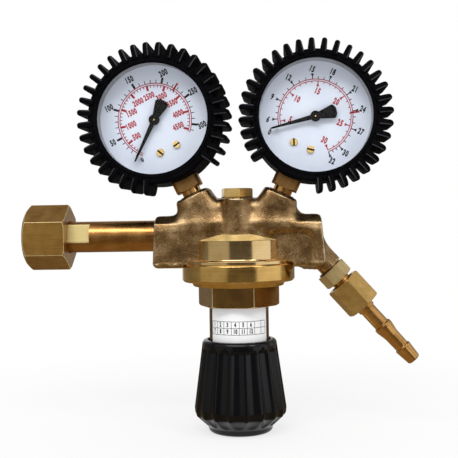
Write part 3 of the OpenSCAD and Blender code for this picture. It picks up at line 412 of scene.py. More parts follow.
def skin(field: Callable[[np.ndarray], np.ndarray], low: Sequence[float], high: Sequence[float],
         step: float) -> Mesh:
    """Draws the surface at which a field is 0, and pulls its points onto that surface.

    Args:
        field: Signed distance at each row of an array of points.
        low: Lowest corner of the box to search.
        high: Highest corner of it.
        step: Spacing of the search grid.

    Returns:
        The vertices and the quads of the surface.
    """
    low = np.array(low, float)
    size = np.ceil((np.array(high) - low) / step).astype(int) + 1
    axes = [low[i] + step * np.arange(size[i]) for i in range(3)]
    value = field(np.stack(np.meshgrid(*axes, indexing="ij"), -1).reshape(-1, 3)).reshape(size)
    inside = value < 0

    def part(corner: Sequence[int]) -> tuple[slice, ...]:
        """The samples that lie at one corner of every cell."""
        return tuple(slice(corner[a], size[a] - 1 + corner[a]) for a in range(3))

    filled = sum(inside[part((i, j, k))].astype(int) for i in (0, 1) for j in (0, 1) for k in (0, 1))
    cell = (filled > 0) & (filled < 8)
    number = -np.ones(cell.shape, int)
    number[cell] = np.arange(cell.sum())
    total, hits = np.zeros((*cell.shape, 3)), np.zeros(cell.shape)
    for a in range(3):
        b, c = (a + 1) % 3, (a + 2) % 3
        for u in (0, 1):
            for v in (0, 1):
                start = [0, 0, 0]
                start[b], start[c] = u, v
                end = list(start)
                end[a] = 1
                f0, f1 = value[part(start)], value[part(end)]
                cross = (f0 < 0) != (f1 < 0)
                place = np.zeros((*cell.shape, 3))
                place[..., b], place[..., c] = u, v
                place[..., a] = np.where(cross, f0 / np.where(f0 == f1, 1, f0 - f1), 0)
                total += place * cross[..., None]
                hits += cross
    verts = low + step * (np.argwhere(cell) + total[cell] / hits[cell][:, None])
    quads = []
    unit = np.eye(3, dtype=int)
    for a in range(3):
        b, c = (a + 1) % 3, (a + 2) % 3
        near, far = [slice(None)] * 3, [slice(None)] * 3
        near[a], far[a] = slice(0, size[a] - 1), slice(1, size[a])
        first = inside[tuple(near)]
        where = np.argwhere(first != inside[tuple(far)])
        where = where[(where[:, b] > 0) & (where[:, c] > 0)]
        ring = [number[tuple((where - off).T)] for off in (0 * unit[a], unit[b], unit[b] + unit[c], unit[c])]
        quad = np.stack(ring, 1)
        outward = first[tuple(where.T)]
        quad[~outward] = quad[~outward][:, ::-1]
        quads.append(quad)
    for _ in range(2):
        slope = gradient(field, verts, step / 4)
        verts = verts - (field(verts) / np.maximum((slope**2).sum(1), 0.2))[:, None] * slope
    return verts, np.vstack(quads).tolist()


def gradient(field: Callable[[np.ndarray], np.ndarray], points: np.ndarray, step: float) -> np.ndarray:
    """Direction and rate in which a field rises at each point."""
    offs = np.eye(3) * step
    return np.stack([(field(points + o) - field(points - o)) / (2 * step) for o in offs], 1)


# Finishes


def linear(colour: str) -> tuple[float, float, float, float]:
    """Turns an sRGB hex colour such as #8a6a45 into linear RGB with alpha 1."""
    parts = [int(colour[i:i + 2], 16) / 255 for i in (1, 3, 5)]
    rgb = [c / 12.92 if c <= 0.04045 else ((c + 0.055) / 1.055) ** 2.4 for c in parts]
    return rgb[0], rgb[1], rgb[2], 1.0


def add(tree: bpy.types.NodeTree, kind: str, inputs: dict | None = None, **settings) -> bpy.types.Node:
    """Adds one shader node.

    Args:
        tree: The node tree that it goes into.
        kind: Its type, without the leading ShaderNode.
        inputs: Values or sockets for its inputs, by name or by number.
        **settings: Its own properties; `stops` holds the places and colours of a colour ramp.

    Returns:
        The node.
    """
    node = tree.nodes.new("ShaderNode" + kind)
    for place, (position, colour) in enumerate(settings.pop("stops", ())):
        ramp = node.color_ramp.elements
        stop = ramp[place] if place < len(ramp) else ramp.new(position)
        stop.position, stop.color = position, linear(colour)
    for name, value in settings.items():
        setattr(node, name, value)
    for key, value in (inputs or {}).items():
        if isinstance(value, bpy.types.NodeSocket):
            tree.links.new(value, node.inputs[key])
        else:
            node.inputs[key].default_value = value
    return node


def fresh_tree(owner: bpy.types.Material | bpy.types.World) -> bpy.types.NodeTree:
    """Returns the emptied node tree of a new material or world."""
    owner.use_nodes = True
    owner.node_tree.nodes.clear()
    return owner.node_tree


def shown(tree: bpy.types.NodeTree) -> bpy.types.NodeSocket:
    """Returns 1 for the rays that show a surface: from the camera, off metal or through a window."""
    path = add(tree, "LightPath").outputs
    seen = add(tree, "Math", {0: path["Is Camera Ray"], 1: path["Is Glossy Ray"]}, operation="MAXIMUM")
    return add(tree, "Math", {0: seen.outputs[0], 1: path["Is Transmission Ray"]},
               operation="MAXIMUM").outputs[0]


def linked(name: str, data: bpy.types.ID) -> bpy.types.Object:
    """Returns a new object in the scene that shows the data."""
    made = bpy.data.objects.new(name, data)
    bpy.context.scene.collection.objects.link(made)
    return made


class Lay(Enum):
    """Which way the marks of a tool run on a metal surface."""

    TURNED = "rings round the axis"
    DRAWN = "lines along the axis"


@dataclass(frozen=True)
class Finish:
    """What every surface finish shares.

    Attributes:
        name: Name of the material.
        roughness: Mean roughness of the surface.
    """

    name: str
    roughness: float

    def paint(self, tree: bpy.types.NodeTree, where: bpy.types.NodeSocket) -> dict:
        """Returns the shader's inputs, given a tree and its position socket in metres."""
        raise NotImplementedError

    def material(self) -> bpy.types.Material:
        """Returns the finish as a Blender material, made once."""
        made = bpy.data.materials.get(self.name)
        if made:
            return made
        made = bpy.data.materials.new(self.name)
        tree = fresh_tree(made)
        where = add(tree, "TexCoord").outputs["Object"]
        shader = add(tree, "BsdfPrincipled", self.paint(tree, where))
        add(tree, "OutputMaterial", {"Surface": self.surface(tree, shader)})
        return made

    def surface(self, tree: bpy.types.NodeTree, shader: bpy.types.Node) -> bpy.types.NodeSocket:
        """Returns what the material's output shows: the shader alone, unless a finish adds to it."""
        return shader.outputs["BSDF"]


@dataclass(frozen=True)
class CutMetal(Finish):
    """Metal shaped by a cutting or drawing tool, whose fine marks catch the light.

    Attributes:
        tones: Dark, middle and light colour, as sRGB hex values.
        lay: Which way the marks run.
        pitch: Spacing of the marks in millimetres, drawn about twice as coarse as a fine tool leaves
            them, so that they show.
        bump: Strength of the marks.
        origin: A point on the axis, in millimetres of the shared frame.
        direction: Direction of the axis.
        metallic: Share of bare metal, the rest being the haze of fine scratches.
    """

    tones: tuple[str, str, str]
    lay: Lay = Lay.TURNED
    pitch: float = 0.25
    bump: float = 0.12
    origin: tuple[float, float, float] = (0.0, 0.0, 0.0)
    direction: tuple[float, float, float] = (0.0, 0.0, 1.0)
    metallic: float = 1.0

    def paint(self, tree: bpy.types.NodeTree, where: bpy.types.NodeSocket) -> dict:
        """Draws the tool's marks around or along the axis, over a slow drift in tone.

        Args:
            tree: The material's node tree.
            where: Place on the piece, in metres.

        Returns:
            The shader's inputs by name.
        """
        turn = Vector(self.direction).rotation_difference(Vector((0, 0, 1))).to_matrix()
        shift = turn @ (Vector(self.origin) * -MM)
        seen = add(tree, "Mapping", {"Vector": where, "Location": shift, "Rotation": turn.to_euler()})
        axes = add(tree, "SeparateXYZ", {0: seen.outputs[0]})
        if self.lay is Lay.TURNED:
            flat = add(tree, "CombineXYZ", {"X": axes.outputs["X"], "Y": axes.outputs["Y"]})
            out = add(tree, "VectorMath", {0: flat.outputs[0]}, operation="LENGTH")
            track = add(tree, "CombineXYZ", {"X": out.outputs["Value"], "Z": axes.outputs["Z"]})
            vector = track.outputs[0]
        else:
            vector = add(tree, "Mapping", {"Vector": seen.outputs[0], "Scale": (1, 1, 1 / 50)}).outputs[0]
        marks = add(tree, "TexNoise", {"Vector": vector, "Scale": 1 / (self.pitch * MM), "Detail": 2.0})
        drift = add(tree, "TexNoise", {"Vector": where, "Scale": 1 / (7 * MM), "Detail": 3.0})
        blend = add(tree, "Mix", {"Factor": 0.45, "A": drift.outputs["Fac"], "B": marks.outputs["Fac"]})
        colour = add(tree, "ValToRGB", {"Fac": blend.outputs["Result"]},
                     stops=[(0.32, self.tones[0]), (0.5, self.tones[1]), (0.68, self.tones[2])])
        rough = add(tree, "MapRange", {"Value": blend.outputs["Result"], "From Min": 0.3, "From Max": 0.7,
                                       "To Min": self.roughness * 0.75, "To Max": self.roughness * 1.3})
        relief = add(tree, "Bump", {"Height": marks.outputs["Fac"], "Strength": self.bump,
                                    "Distance": self.pitch * MM / 2})
        return {"Base Color": colour.outputs["Color"], "Metallic": self.metallic,
                "Roughness": rough.outputs["Result"], "Normal": relief.outputs["Normal"]}


@dataclass(frozen=True)
class ForgedMetal(Finish):
    """Brass forged hot in a die and tumbled, which leaves a fine sparkling grain; its convex edges are
    painted pale, partly as abrasion and partly as painted highlight.

    Attributes:
        tones: Dark, middle and light colour of the skin, as sRGB hex values.
        worn: Colour of the convex edges, for abrasion and for painted highlight.
        grain: Size of the tumbled grain in millimetres, drawn twice as coarse as it is so that it shows.
    """

    tones: tuple[str, str, str]
    worn: str
    grain: float = 0.8

    def paint(self, tree: bpy.types.NodeTree, where: bpy.types.NodeSocket) -> dict:
        """Draws grain, blotches of tarnish, tumbling nicks, slanting scratches, and pale convex edges that
        are partly abrasion and partly painted highlight.

        Args:
            tree: The material's node tree.
            where: Place on the piece, in metres.

        Returns:
            The shader's inputs by name.
        """
        grain = add(tree, "TexNoise", {"Vector": where, "Scale": 1 / (self.grain * MM), "Detail": 3.0,
                                       "Roughness": 0.65})
        blotch = add(tree, "TexNoise", {"Vector": where, "Scale": 1 / (9 * MM), "Detail": 4.0})
        nick = add(tree, "TexNoise", {"Vector": where, "Scale": 1 / (1.6 * MM), "Detail": 2.0,
                                      "Distortion": 1.6})
        tone = add(tree, "Mix", {"Factor": 0.4, "A": blotch.outputs["Fac"], "B": grain.outputs["Fac"]})
        base = add(tree, "ValToRGB", {"Fac": tone.outputs["Result"]},
                   stops=[(0.33, self.tones[0]), (0.5, self.tones[1]), (0.67, self.tones[2])])
        edge = add(tree, "Attribute", attribute_name=WEAR_AND_SHEEN)
        rubbed = add(tree, "Math", {0: edge.outputs["Fac"], 1: nick.outputs["Fac"]}, operation="MULTIPLY")
        rubbed = add(tree, "MapRange", {"Value": rubbed.outputs[0], "From Min": 0.2, "From Max": 0.75})
        slant = add(tree, "Mapping", {"Vector": where, "Rotation": (0.2, 0.75, 0.0), "Scale": (1, 1, 22)},
                    vector_type="TEXTURE")
        scratch = add(tree, "TexNoise", {"Vector": slant.outputs[0], "Scale": 1 / (0.7 * MM), "Detail": 1.0})
        scratch = add(tree, "MapRange", {"Value": scratch.outputs["Fac"], "From Min": 0.66, "From Max": 0.76,
                                         "To Max": 0.6})
        rubbed = add(tree, "Math", {0: rubbed.outputs["Result"], 1: scratch.outputs["Result"]},
                     operation="MAXIMUM")
        colour = add(tree, "Mix", {"Factor": rubbed.outputs[0], "A": base.outputs["Color"],
                                   "B": linear(self.worn)}, data_type="RGBA")
        rough = add(tree, "MapRange", {"Value": tone.outputs["Result"], "From Min": 0.35, "From Max": 0.65,
                                       "To Min": self.roughness * 0.7, "To Max": self.roughness * 1.3})
        height = add(tree, "Mix", {"Factor": 0.35, "A": grain.outputs["Fac"], "B": nick.outputs["Fac"]})
        relief = add(tree, "Bump", {"Height": height.outputs["Result"], "Strength": 0.55,
                                    "Distance": self.grain * MM / 2})
        return {"Base Color": colour.outputs["Result"], "Metallic": 1.0,
                "Roughness": rough.outputs["Result"], "Normal": relief.outputs["Normal"]}


@dataclass(frozen=True)
class Moulded(Finish):
    """Rubber, plastic, paint, paper or ink: a dull body with a fine surface grain.

    Attributes:
        tones: Dark and light colour, as sRGB hex values.
        grain: Size of the surface grain in millimetres, drawn coarser than the real one, which is
            too fine to show.
        bump: Strength of the grain.
        ior: Index of refraction.
        metallic: Share of bare metal in the surface.
        gloss: Strength of its mirror part, 0.5 being that of the index alone.
    """

    tones: tuple[str, str]
    grain: float = 0.3
    bump: float = 0.1
    ior: float = 1.5
    metallic: float = 0.0
    gloss: float = 0.5

    def paint(self, tree: bpy.types.NodeTree, where: bpy.types.NodeSocket) -> dict:
        """Draws the grain over a slow drift in tone."""
        grain = add(tree, "TexNoise", {"Vector": where, "Scale": 1 / (self.grain * MM), "Detail": 2.0})
        drift = add(tree, "TexNoise", {"Vector": where, "Scale": 1 / (11 * MM), "Detail": 3.0})
        tone = add(tree, "Mix", {"Factor": 0.4, "A": drift.outputs["Fac"], "B": grain.outputs["Fac"]})
        colour = add(tree, "ValToRGB", {"Fac": tone.outputs["Result"]},
                     stops=[(0.35, self.tones[0]), (0.65, self.tones[1])])
        rough = add(tree, "MapRange", {"Value": tone.outputs["Result"], "From Min": 0.3, "From Max": 0.7,
                                       "To Min": self.roughness * 0.85, "To Max": self.roughness * 1.15})
        relief = add(tree, "Bump", {"Height": grain.outputs["Fac"], "Strength": self.bump,
                                    "Distance": self.grain * MM / 3})
        return {"Base Color": colour.outputs["Color"], "Roughness": rough.outputs["Result"],
                "Normal": relief.outputs["Normal"], "IOR": self.ior, "Metallic": self.metallic,
                "Specular IOR Level": self.gloss}


@dataclass(frozen=True)
class ClearPlastic(Finish):
    """Clear polycarbonate, moulded with the faintest waves and coated so that it mirrors little."""

    def paint(self, tree: bpy.types.NodeTree, where: bpy.types.NodeSocket) -> dict:
        """Draws slow waves in the moulded surface."""
        wave = add(tree, "TexNoise", {"Vector": where, "Scale": 1 / (14 * MM)})
        relief = add(tree, "Bump", {"Height": wave.outputs["Fac"], "Strength": 0.04, "Distance": MM})
        rough = add(tree, "MapRange", {"Value": wave.outputs["Fac"], "To Min": self.roughness * 0.5,
                                       "To Max": self.roughness * 1.5})
        return {"Base Color": (1.0, 1.0, 1.0, 1.0), "Transmission Weight": 1.0, "IOR": 1.22,
                "Roughness": rough.outputs["Result"], "Normal": relief.outputs["Normal"]}

    def surface(self, tree: bpy.types.NodeTree, shader: bpy.types.Node) -> bpy.types.NodeSocket:
        """Lets the lamps' light through to the dial, as thin clear plastic does."""
        path = add(tree, "LightPath")
        light = add(tree, "Math", {0: path.outputs["Is Shadow Ray"], 1: path.outputs["Is Diffuse Ray"]},
                    operation="MAXIMUM")
        clear = add(tree, "BsdfTransparent")
        return add(tree, "MixShader", {0: light.outputs[0], 1: shader.outputs["BSDF"],
                                       2: clear.outputs["BSDF"]}).outputs[0]


@dataclass(frozen=True)
class Palette:
    """Every finish of the regulator, for pieces around one valve axis.

    Attributes:
        axis_x: Place of the valve axis along X, in millimetres.
    """

    axis_x: float

    def turned(self, name: str, roughness: float, tones: tuple[str, str, str], pitch: float = 0.3,
               bump: float = 0.1, metallic: float = 1.0) -> Finish:
        """Returns metal turned round the valve axis."""
        return CutMetal(name, roughness, tones, Lay.TURNED, pitch, bump, (self.axis_x, 0, 0),
                        metallic=metallic)

    @property
    def forged(self) -> Finish:
        """The body's tumbled forging skin."""
        return ForgedMetal("forged brass", 0.34, ("#75593b", "#9f8058", "#cdb088"), "#eedfba")

    @property
    def band(self) -> Finish:
        """The body's turned band, cone and flange, left bright by a fine tool."""
        return self.turned("fine turned brass", 0.15, ("#cfae72", "#dfc08a", "#ecd09c"), 0.2, 0.04)

    @property
    def cone(self) -> Finish:
        """The cone above the band, pale and only partly metallic: a painted highlight that keeps it light in
        the arms' shade.
        """
        return self.turned("highlight_painted brass cone", 0.24, ("#e3c983", "#efda98", "#f7e8b4"), metallic=0.45)

    @property
    def bonnet(self) -> Finish:
        """The bonnet, turned a little coarser, so that rings show on it."""
        return self.turned("turned brass", 0.2, ("#c99f5c", "#dcb46c", "#ebc67f"))

    @property
    def tube(self) -> Finish:
        """The spring tube, left dull and brown behind its label."""
        return self.turned("dull turned tube", 0.34, ("#6d5238", "#806245", "#957555"))

    @property
    def grip(self) -> Finish:
        """The bonnet's hexagon, browner than the turned part because its flats keep the bar's skin."""
        return self.turned("browned bar flats", 0.18, ("#8f6c3e", "#a5804c", "#ba945c"), bump=0.12)

    @property
    def plug(self) -> Finish:
        """The polished valve plug."""
        return self.turned("polished yellow brass", 0.24, ("#dcb566", "#e8c57a", "#f2d391"), 0.25, 0.05, 0.75)

    @property
    def inlet_bar(self) -> Finish:
        """Hexagon bar, drawn along the inlet axis, which leaves long fine lines."""
        return CutMetal("drawn brass bar", 0.32, ("#9c7238", "#b28848", "#c59d5a"), Lay.DRAWN, 0.22, 0.12,
                        direction=(1, 0, 0), metallic=0.9)

    @property
    def rubbed(self) -> Finish:
        """The broken edges of the bars, pale and dull: partly abraded, partly painted highlight lines along
        the corners.
        """
        return self.turned("rubbed brass edge", 0.42, ("#d9c388", "#e9d59c", "#f4e5b4"), 0.4, metallic=0.55)

    @property
    def milled(self) -> Finish:
        """The pipe's wrench flats, left pale and fairly dull by an end mill."""
        return CutMetal("milled brass", 0.5, ("#b09d68", "#c0ae78", "#cfbf8b"), Lay.DRAWN, 0.3, 0.14,
                        direction=(1, 0, 0), metallic=0.6)

    @property
    def inlet_tube(self) -> Finish:
        """Polished tube on the inlet axis."""
        return CutMetal("polished brass tube", 0.27, ("#a0713f", "#b5844e", "#c99a63"), Lay.DRAWN, 0.2, 0.04,
                        direction=(1, 0, 0))

    @property
    def outlet_bar(self) -> Finish:
        """Hexagon bar of the outlet's adapter and nut."""
        return CutMetal("drawn outlet bar", 0.34, ("#ad8a4c", "#c09c5c", "#d3b072"), Lay.DRAWN, 0.22, 0.06,
                        (self.axis_x + OUTLET_X, 0, 0), OUTLET_WAY, 0.8)

    @property
    def adapter(self) -> Finish:
        """The adapter's bar, brushed paler than the nut's."""
        return CutMetal("brushed adapter bar", 0.36, ("#bda26c", "#cdb47e", "#dcc592"), Lay.DRAWN, 0.22, 0.06,
                        (self.axis_x + OUTLET_X, 0, 0), OUTLET_WAY, 0.7)

    @property
    def barb(self) -> Finish:
        """Turned hose barb."""
        return CutMetal("turned outlet brass", 0.2, ("#b98a4e", "#cf9f5f", "#e0b475"), pitch=0.22,
                        bump=0.02, origin=(self.axis_x + OUTLET_X, 0, 0), direction=OUTLET_WAY)

    @property
    def copper(self) -> Finish:
        """Annealed copper washers, tarnished brown."""
        return CutMetal("annealed copper", 0.35, ("#54402f", "#6b523c", "#82664c"), pitch=0.3)

    @property
    def steel(self) -> Finish:
        """Turned stainless steel."""
        return self.turned("turned stainless steel", 0.28, ("#8b8d90", "#a4a6a8", "#bcbec0"), bump=0.12)

    @property
    def wire(self) -> Finish:
        """Oiled spring wire."""
        return CutMetal("oiled spring wire", 0.34, ("#55585c", "#6d7074", "#86898d"), Lay.DRAWN, 0.3,
                        origin=(self.axis_x, 0, 0))

    @property
    def bronze(self) -> Finish:
        """Sintered bronze, an open grain of small balls."""
        return Moulded("sintered bronze", 0.5, ("#6b4c2c", "#a5804f"), 0.25, 0.7, metallic=0.9)

    @property
    def fluoroplastic(self) -> Finish:
        """Turned fluoroplastic, waxy white."""
        return Moulded("turned fluoroplastic", 0.35, ("#dcdad0", "#eae8df"), 0.4, 0.08, 1.36)

    @property
    def boot(self) -> Finish:
        """Moulded synthetic rubber, black; the grey lines along its fins' edges are painted highlights."""
        return Moulded("moulded rubber", 0.5, ("#08080a", "#0f0f11"), 0.35, 0.16, gloss=0.002)

    @property
    def bloom(self) -> Finish:
        """A painted highlight along one front edge of each fin, a thin grey line that draws each fin."""
        return Moulded("rubber bloom", 0.6, ("#2b2b2e", "#4a4a4e"), 0.8, 0.2, gloss=0.02)

    @property
    def diaphragm(self) -> Finish:
        """Cloth-backed rubber sheet."""
        return Moulded("cloth backed rubber", 0.6, ("#1c1c1e", "#2c2c2f"), 0.5, 0.3, 1.52)

    @property
    def knob(self) -> Finish:
        """Glass-filled nylon, black and satin, with a fine mould grain."""
        return Moulded("glass filled nylon", 0.22, ("#020308", "#05070e"), 0.3, 0.05, gloss=0.3)

    @property
    def lacquer(self) -> Finish:
        """Black lacquered finish of the pointers, matt enough to show no lamp; also the black painted shade
        on the floors of the screw slots.
        """
        return Moulded("black lacquer", 0.4, ("#070709", "#0c0c0e"), 0.2, 0.04, gloss=0.03)

    @property
    def case(self) -> Finish:
        """Grey lacquered pressed sheet."""
        return Moulded("grey lacquered sheet", 0.4, ("#b4b6b9", "#c8cacd"), 0.4, 0.05)

    @property
    def spacer(self) -> Finish:
        """Darker grey lacquered ring between window and dial."""
        return Moulded("dark grey lacquered ring", 0.4, ("#7d7f83", "#8e9094"), 0.4, 0.05)

    @property
    def dial(self) -> Finish:
        """Printed aluminium, a pale blue white."""
        return Moulded("coated dial sheet", 0.5, ("#d4dcec", "#dde4f1"), 0.25, 0.02)

    @property
    def film(self) -> Finish:
        """White label film, faintly glossy."""
        return Moulded("label film", 0.42, ("#f2f3f5", "#f9f9fa"), 0.3, 0.03)

    @property
    def black_ink(self) -> Finish:
        """Black printing ink."""
        return Moulded("black ink", 0.55, ("#07080c", "#0e0f14"), 0.15, 0.03, gloss=0.15)

    @property
    def red_ink(self) -> Finish:
        """Red printing ink."""
        return Moulded("red ink", 0.55, ("#9c0f1c", "#ac1826"), 0.15, 0.03, gloss=0.2)

    @property
    def clear(self) -> Finish:
        """The windows' polycarbonate."""
        return ClearPlastic("clear polycarbonate", 0.02)


# Pieces


@dataclass(frozen=True)
class Bench:
    """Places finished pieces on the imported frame.

    Attributes:
        palette: The finishes.
    """

    frame: dict
    palette: Palette

    def dress(self, finish: Finish, *nodes: str) -> None:
        """Gives CAD nodes a finish."""
        for name in nodes:
            piece = self.frame["nodes"][name]
            piece.data.materials.clear()
            piece.data.materials.append(finish.material())
            LOG.info("dressed %s in %s", name, finish.name)

    def place(self, name: str, mesh: Mesh, spot: Matrix, finish: Finish, slot: str,
              replaces: Sequence[str] = (), body: str = ROOT, bevel: float = 0.0, crease: float = 32.0,
              wear_and_sheen: np.ndarray | None = None, second: Finish | None = None,
              picked: Callable[[Vector], bool] | None = None) -> None:
        """Makes one piece and seats it on its body.

        Args:
            name: Name of the piece.
            mesh: Its vertices in millimetres and its faces.
            spot: The matrix that carries it to the shared frame, in metres.
            finish: Its finish.
            slot: The record's material slot; not used.
            replaces: CAD nodes that it stands for.
            body: The CAD body that carries it.
            bevel: Width of the small bevel on its edges, in millimetres.
            crease: Angle in degrees above which an edge stays sharp.
            wear_and_sheen: How pale each vertex is painted, from 0 to 1, as abrasion and as painted
                highlight.
            second: A second finish, for the bevels or for the picked faces.
            picked: Says of a face's centre, in millimetres of the mesh's own frame, whether it takes it.
        """
        data = bpy.data.meshes.new(name)
        back = spot.inverted()
        verts = mesh[0] @ np.array(spot.to_3x3()).T + np.array(spot.translation)
        data.from_pydata(verts.tolist(), [], mesh[1])
        if wear_and_sheen is None:
            work = bmesh.new()
            work.from_mesh(data)
            bmesh.ops.remove_doubles(work, verts=work.verts, dist=0.003 * MM)
            bmesh.ops.recalc_face_normals(work, faces=work.faces)
            work.to_mesh(data)
            work.free()
        else:
            data.attributes.new(WEAR_AND_SHEEN, "FLOAT", "POINT").data.foreach_set("value", wear_and_sheen)
        data.shade_smooth()
        data.set_sharp_from_angle(angle=math.radians(crease))
        data.materials.append(finish.material())
        if second:
            data.materials.append(second.material())
        for face in data.polygons if picked else ():
            face.material_index = int(picked(back @ face.center))
        piece = linked(name, data)
        if bevel:
            edges = piece.modifiers.new("edge", "BEVEL")
            edges.width, edges.segments, edges.limit_method = bevel * MM, 2, "ANGLE"
            edges.angle_limit, edges.harden_normals = math.radians(28), True
            edges.material = 1 if second and not picked else -1
        elif wear_and_sheen is None:
            piece.modifiers.new("shading", "WEIGHTED_NORMAL").keep_sharp = True
        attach(piece, body)
        if replaces:
            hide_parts(*replaces)
        LOG.info("made %s with %d faces", name, len(data.polygons))


@dataclass(frozen=True)
class Layout:
    """Where the regulator's axes lie, read from the frame.

    Attributes:
        axis_x: Place of the valve axis along X, in millimetres.
        gauges: Centre of each gauge by its side, in millimetres.
    """

    axis_x: float
    gauges: dict[int, Vector]

    @classmethod
    def read(cls) -> Layout:
        """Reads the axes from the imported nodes' boxes."""
        low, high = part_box("bonnet")
        centres = {}
        for side, name in SIDES.items():
            a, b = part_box(f"{name}_window")
            centres[side] = Vector(((a.x + b.x) / 2, 0, (a.z + b.z) / 2)) / MM
        return cls((low.x + high.x) / 2 / MM, centres)

    def valve(self, height: float = 0.0) -> Matrix:
        """Frame on the valve axis, at a height above the inlet axis."""
        return TO_METRES @ Matrix.Translation((self.axis_x, 0, height))

    def inlet(self) -> Matrix:
        """Frame at the inlet nut's open face, whose Z points into the regulator."""
        return TO_METRES @ Matrix.Rotation(math.pi / 2, 4, "Y")

    def outlet(self, along: float = 0.0) -> Matrix:
        """Frame on the outlet axis, whose Z points out of the regulator."""
        spot = Matrix.Translation((self.axis_x + OUTLET_X, 0, 0)) @ Matrix.Rotation(
            math.pi / 2 + OUTLET_SLOPE, 4, "Y") @ Matrix.Translation((0, 0, along))
        return TO_METRES @ spot

    def gauge(self, side: int) -> Matrix:
        """Frame of one gauge: X right, Y to its back, Z away from its stem."""
        spot = Matrix.Translation(self.gauges[side]) @ Matrix.Rotation(side * GAUGE_TILT, 4, "Y")
        return TO_METRES @ spot


@dataclass(frozen=True)
class Assembly:
    """What every sub-assembly works with.

    Attributes:
        bench: Places its pieces.
        layout: Where the regulator's axes lie.
    """

    bench: Bench
    layout: Layout

    @property
    def palette(self) -> Palette:
        """The finishes."""
        return self.bench.palette


@dataclass(frozen=True)
class ForgedBody(Assembly):
    """The forged and tumbled body, with its turned lower part.

    Attributes:
        arm_left: Length of the left arm from the valve axis.
        arm_right: Length of the right arm.
        arm_depth: Depth of the arms from front to back.
        arm_top: Height of the arms above the inlet axis.
        arm_drop: Drop of the arms below it.
        boss_x: Distance of the gauge bosses' faces from the valve axis.
        boss_z: Height of the gauge bosses' faces.
        boss_half: Half the width of a gauge boss.
        port_r: Distance of the outlet boss's eight corners from its middle.
        port_shift: How far that middle lies below the bore, towards the valve axis.
        pocket: Depth of the shallow pocket in the front of the right arm.
        step: Spacing of the grid on which the forging is drawn.
    """

    arm_left: float = 42.5
    arm_right: float = 43.4
    arm_depth: float = 26.0
    arm_top: float = 10.7
    arm_drop: float = 17.0
    boss_x: float = 22.9
    boss_z: float = 20.6
    boss_half: float = 8.2
    port_r: float = 9.47
    port_shift: float = 1.2
    pocket: float = 1.3
    step: float = 0.62

    def boss_frame(self, side: int) -> Matrix:
        """Frame at the face of a gauge boss, with Z along its stem."""
        return Matrix.Translation((side * self.boss_x, 0, self.boss_z)) @ Matrix.Rotation(
            side * GAUGE_TILT, 4, "Y")

    def arms(self, points: np.ndarray) -> np.ndarray:
        """Field of the two arms, with their slanted tops and drafted ends.

        Args:
            points: Rows of places in the valve's frame, in millimetres.

        Returns:
            One signed distance for each place.
        """
        half, top, foot = self.arm_depth / 2, self.arm_top, -self.arm_drop
        section = rounded(mirrored([(half - 6, top, 2), (half - 0.7, top - 4.4, 1.6), (half, top - 8, 2),
                                    (half, foot + 2, 1), (half - 1.6, foot, 1.2)]), 3)
        height = top - foot
        left, right = height * math.tan(math.radians(2.5)), height * math.tan(math.radians(5))
        front = rounded([(-self.arm_left, top, 2.5), (-self.arm_left - left, foot, 3),
                         (self.arm_right + right, foot, 4), (self.arm_right, top, 3)], 3)
        across = outline_distance(points[:, [1, 2]], section)
        seam = foot + 2.3 + 0.22 * np.sin(points[:, 0] * 0.8) + 0.12 * np.sin(points[:, 0] * 2.1)
        across = across - 0.3 * np.exp(-(((points[:, 2] - seam) / 0.55) ** 2))
        return both(across, outline_distance(points[:, [0, 2]], front), 1.1)

    def web(self, points: np.ndarray) -> np.ndarray:
        """Field of the web between the bosses, scooped on both sides of the valve boss."""
        lean, half = GAUGE_TILT, self.boss_half
        outer = (self.boss_x + half * math.cos(lean), self.boss_z - half * math.sin(lean))
        inner = (self.boss_x - half * math.cos(lean), self.boss_z + half * math.sin(lean))
        side = [(outer[0] + 1, 3.1, 0), (*outer, 1.5), (*inner, 1.5), (inner[0] - 5, inner[1] - 5.6, 3)]
        front = outline_distance(points[:, [0, 2]], rounded(mirrored(side)))
        return both(front, np.abs(points[:, 1]) - 11.0, 4.5)

    def boss(self, points: np.ndarray, side: int) -> np.ndarray:
        """Field of one gauge boss, a block with broad corners and a crisp machined face."""
        here = local(points, self.boss_frame(side))
        half, deep, corner = self.boss_half, 12.0, 4.6
        corners = [(-half, -deep, corner), (half, -deep, corner), (half, deep, corner), (-half, deep, corner)]
        across = outline_distance(here[:, :2], rounded(corners))
        return both(across, np.abs(here[:, 2] + 9) - 9, 0.7)

    def field(self, points: np.ndarray) -> np.ndarray:
        """Signed distance from the whole forging, in the valve's frame.

        Args:
            points: Rows of places in that frame, in millimetres.

        Returns:
            One signed distance for each place.
        """
        out = Matrix.Translation((OUTLET_X, 0, 0)) @ Matrix.Rotation(math.pi / 2 + OUTLET_SLOPE, 4, "Y")
        seen = local(points, out)
        ways = [math.radians(45 * i + 22.5) for i in range(8)]
        eight = [(self.port_r * math.cos(a), self.port_r * math.sin(a)) for a in ways]
        across = outline_distance(seen[:, :2] - [self.port_shift, 0], eight)
        port = both(across, np.abs(seen[:, 2] - 8) - 16.3, 0.6)
        value = blended(self.arms(points), port, 3.6)
        value = without(value, rod(points, 30.1, -60, -14.7, 0.3), 0.5)
        value = blended(value, self.web(points), 5.0)
        for side in SIDES:
            value = blended(value, self.boss(points, side), 4.0)
        stem = rod(points, 10.2, -2, 18.9, 0.6)
        for side in SIDES:
            rib = points - np.array([0, side * 8.15, 0])
            stem = blended(stem, rod(rib, 7.35, -2, 18.9, 0.6), 1.5)
        value = blended(value, stem, 2.4)
        hollow = both(np.abs(points[:, 0] - 27.6) - 11.6, np.abs(points[:, 2] + 8.2) - 9.6, 5.5)
        floor = points[:, 1] + self.arm_depth / 2 - self.pocket
        value = without(value, both(hollow, floor, 1.2), 2.6)
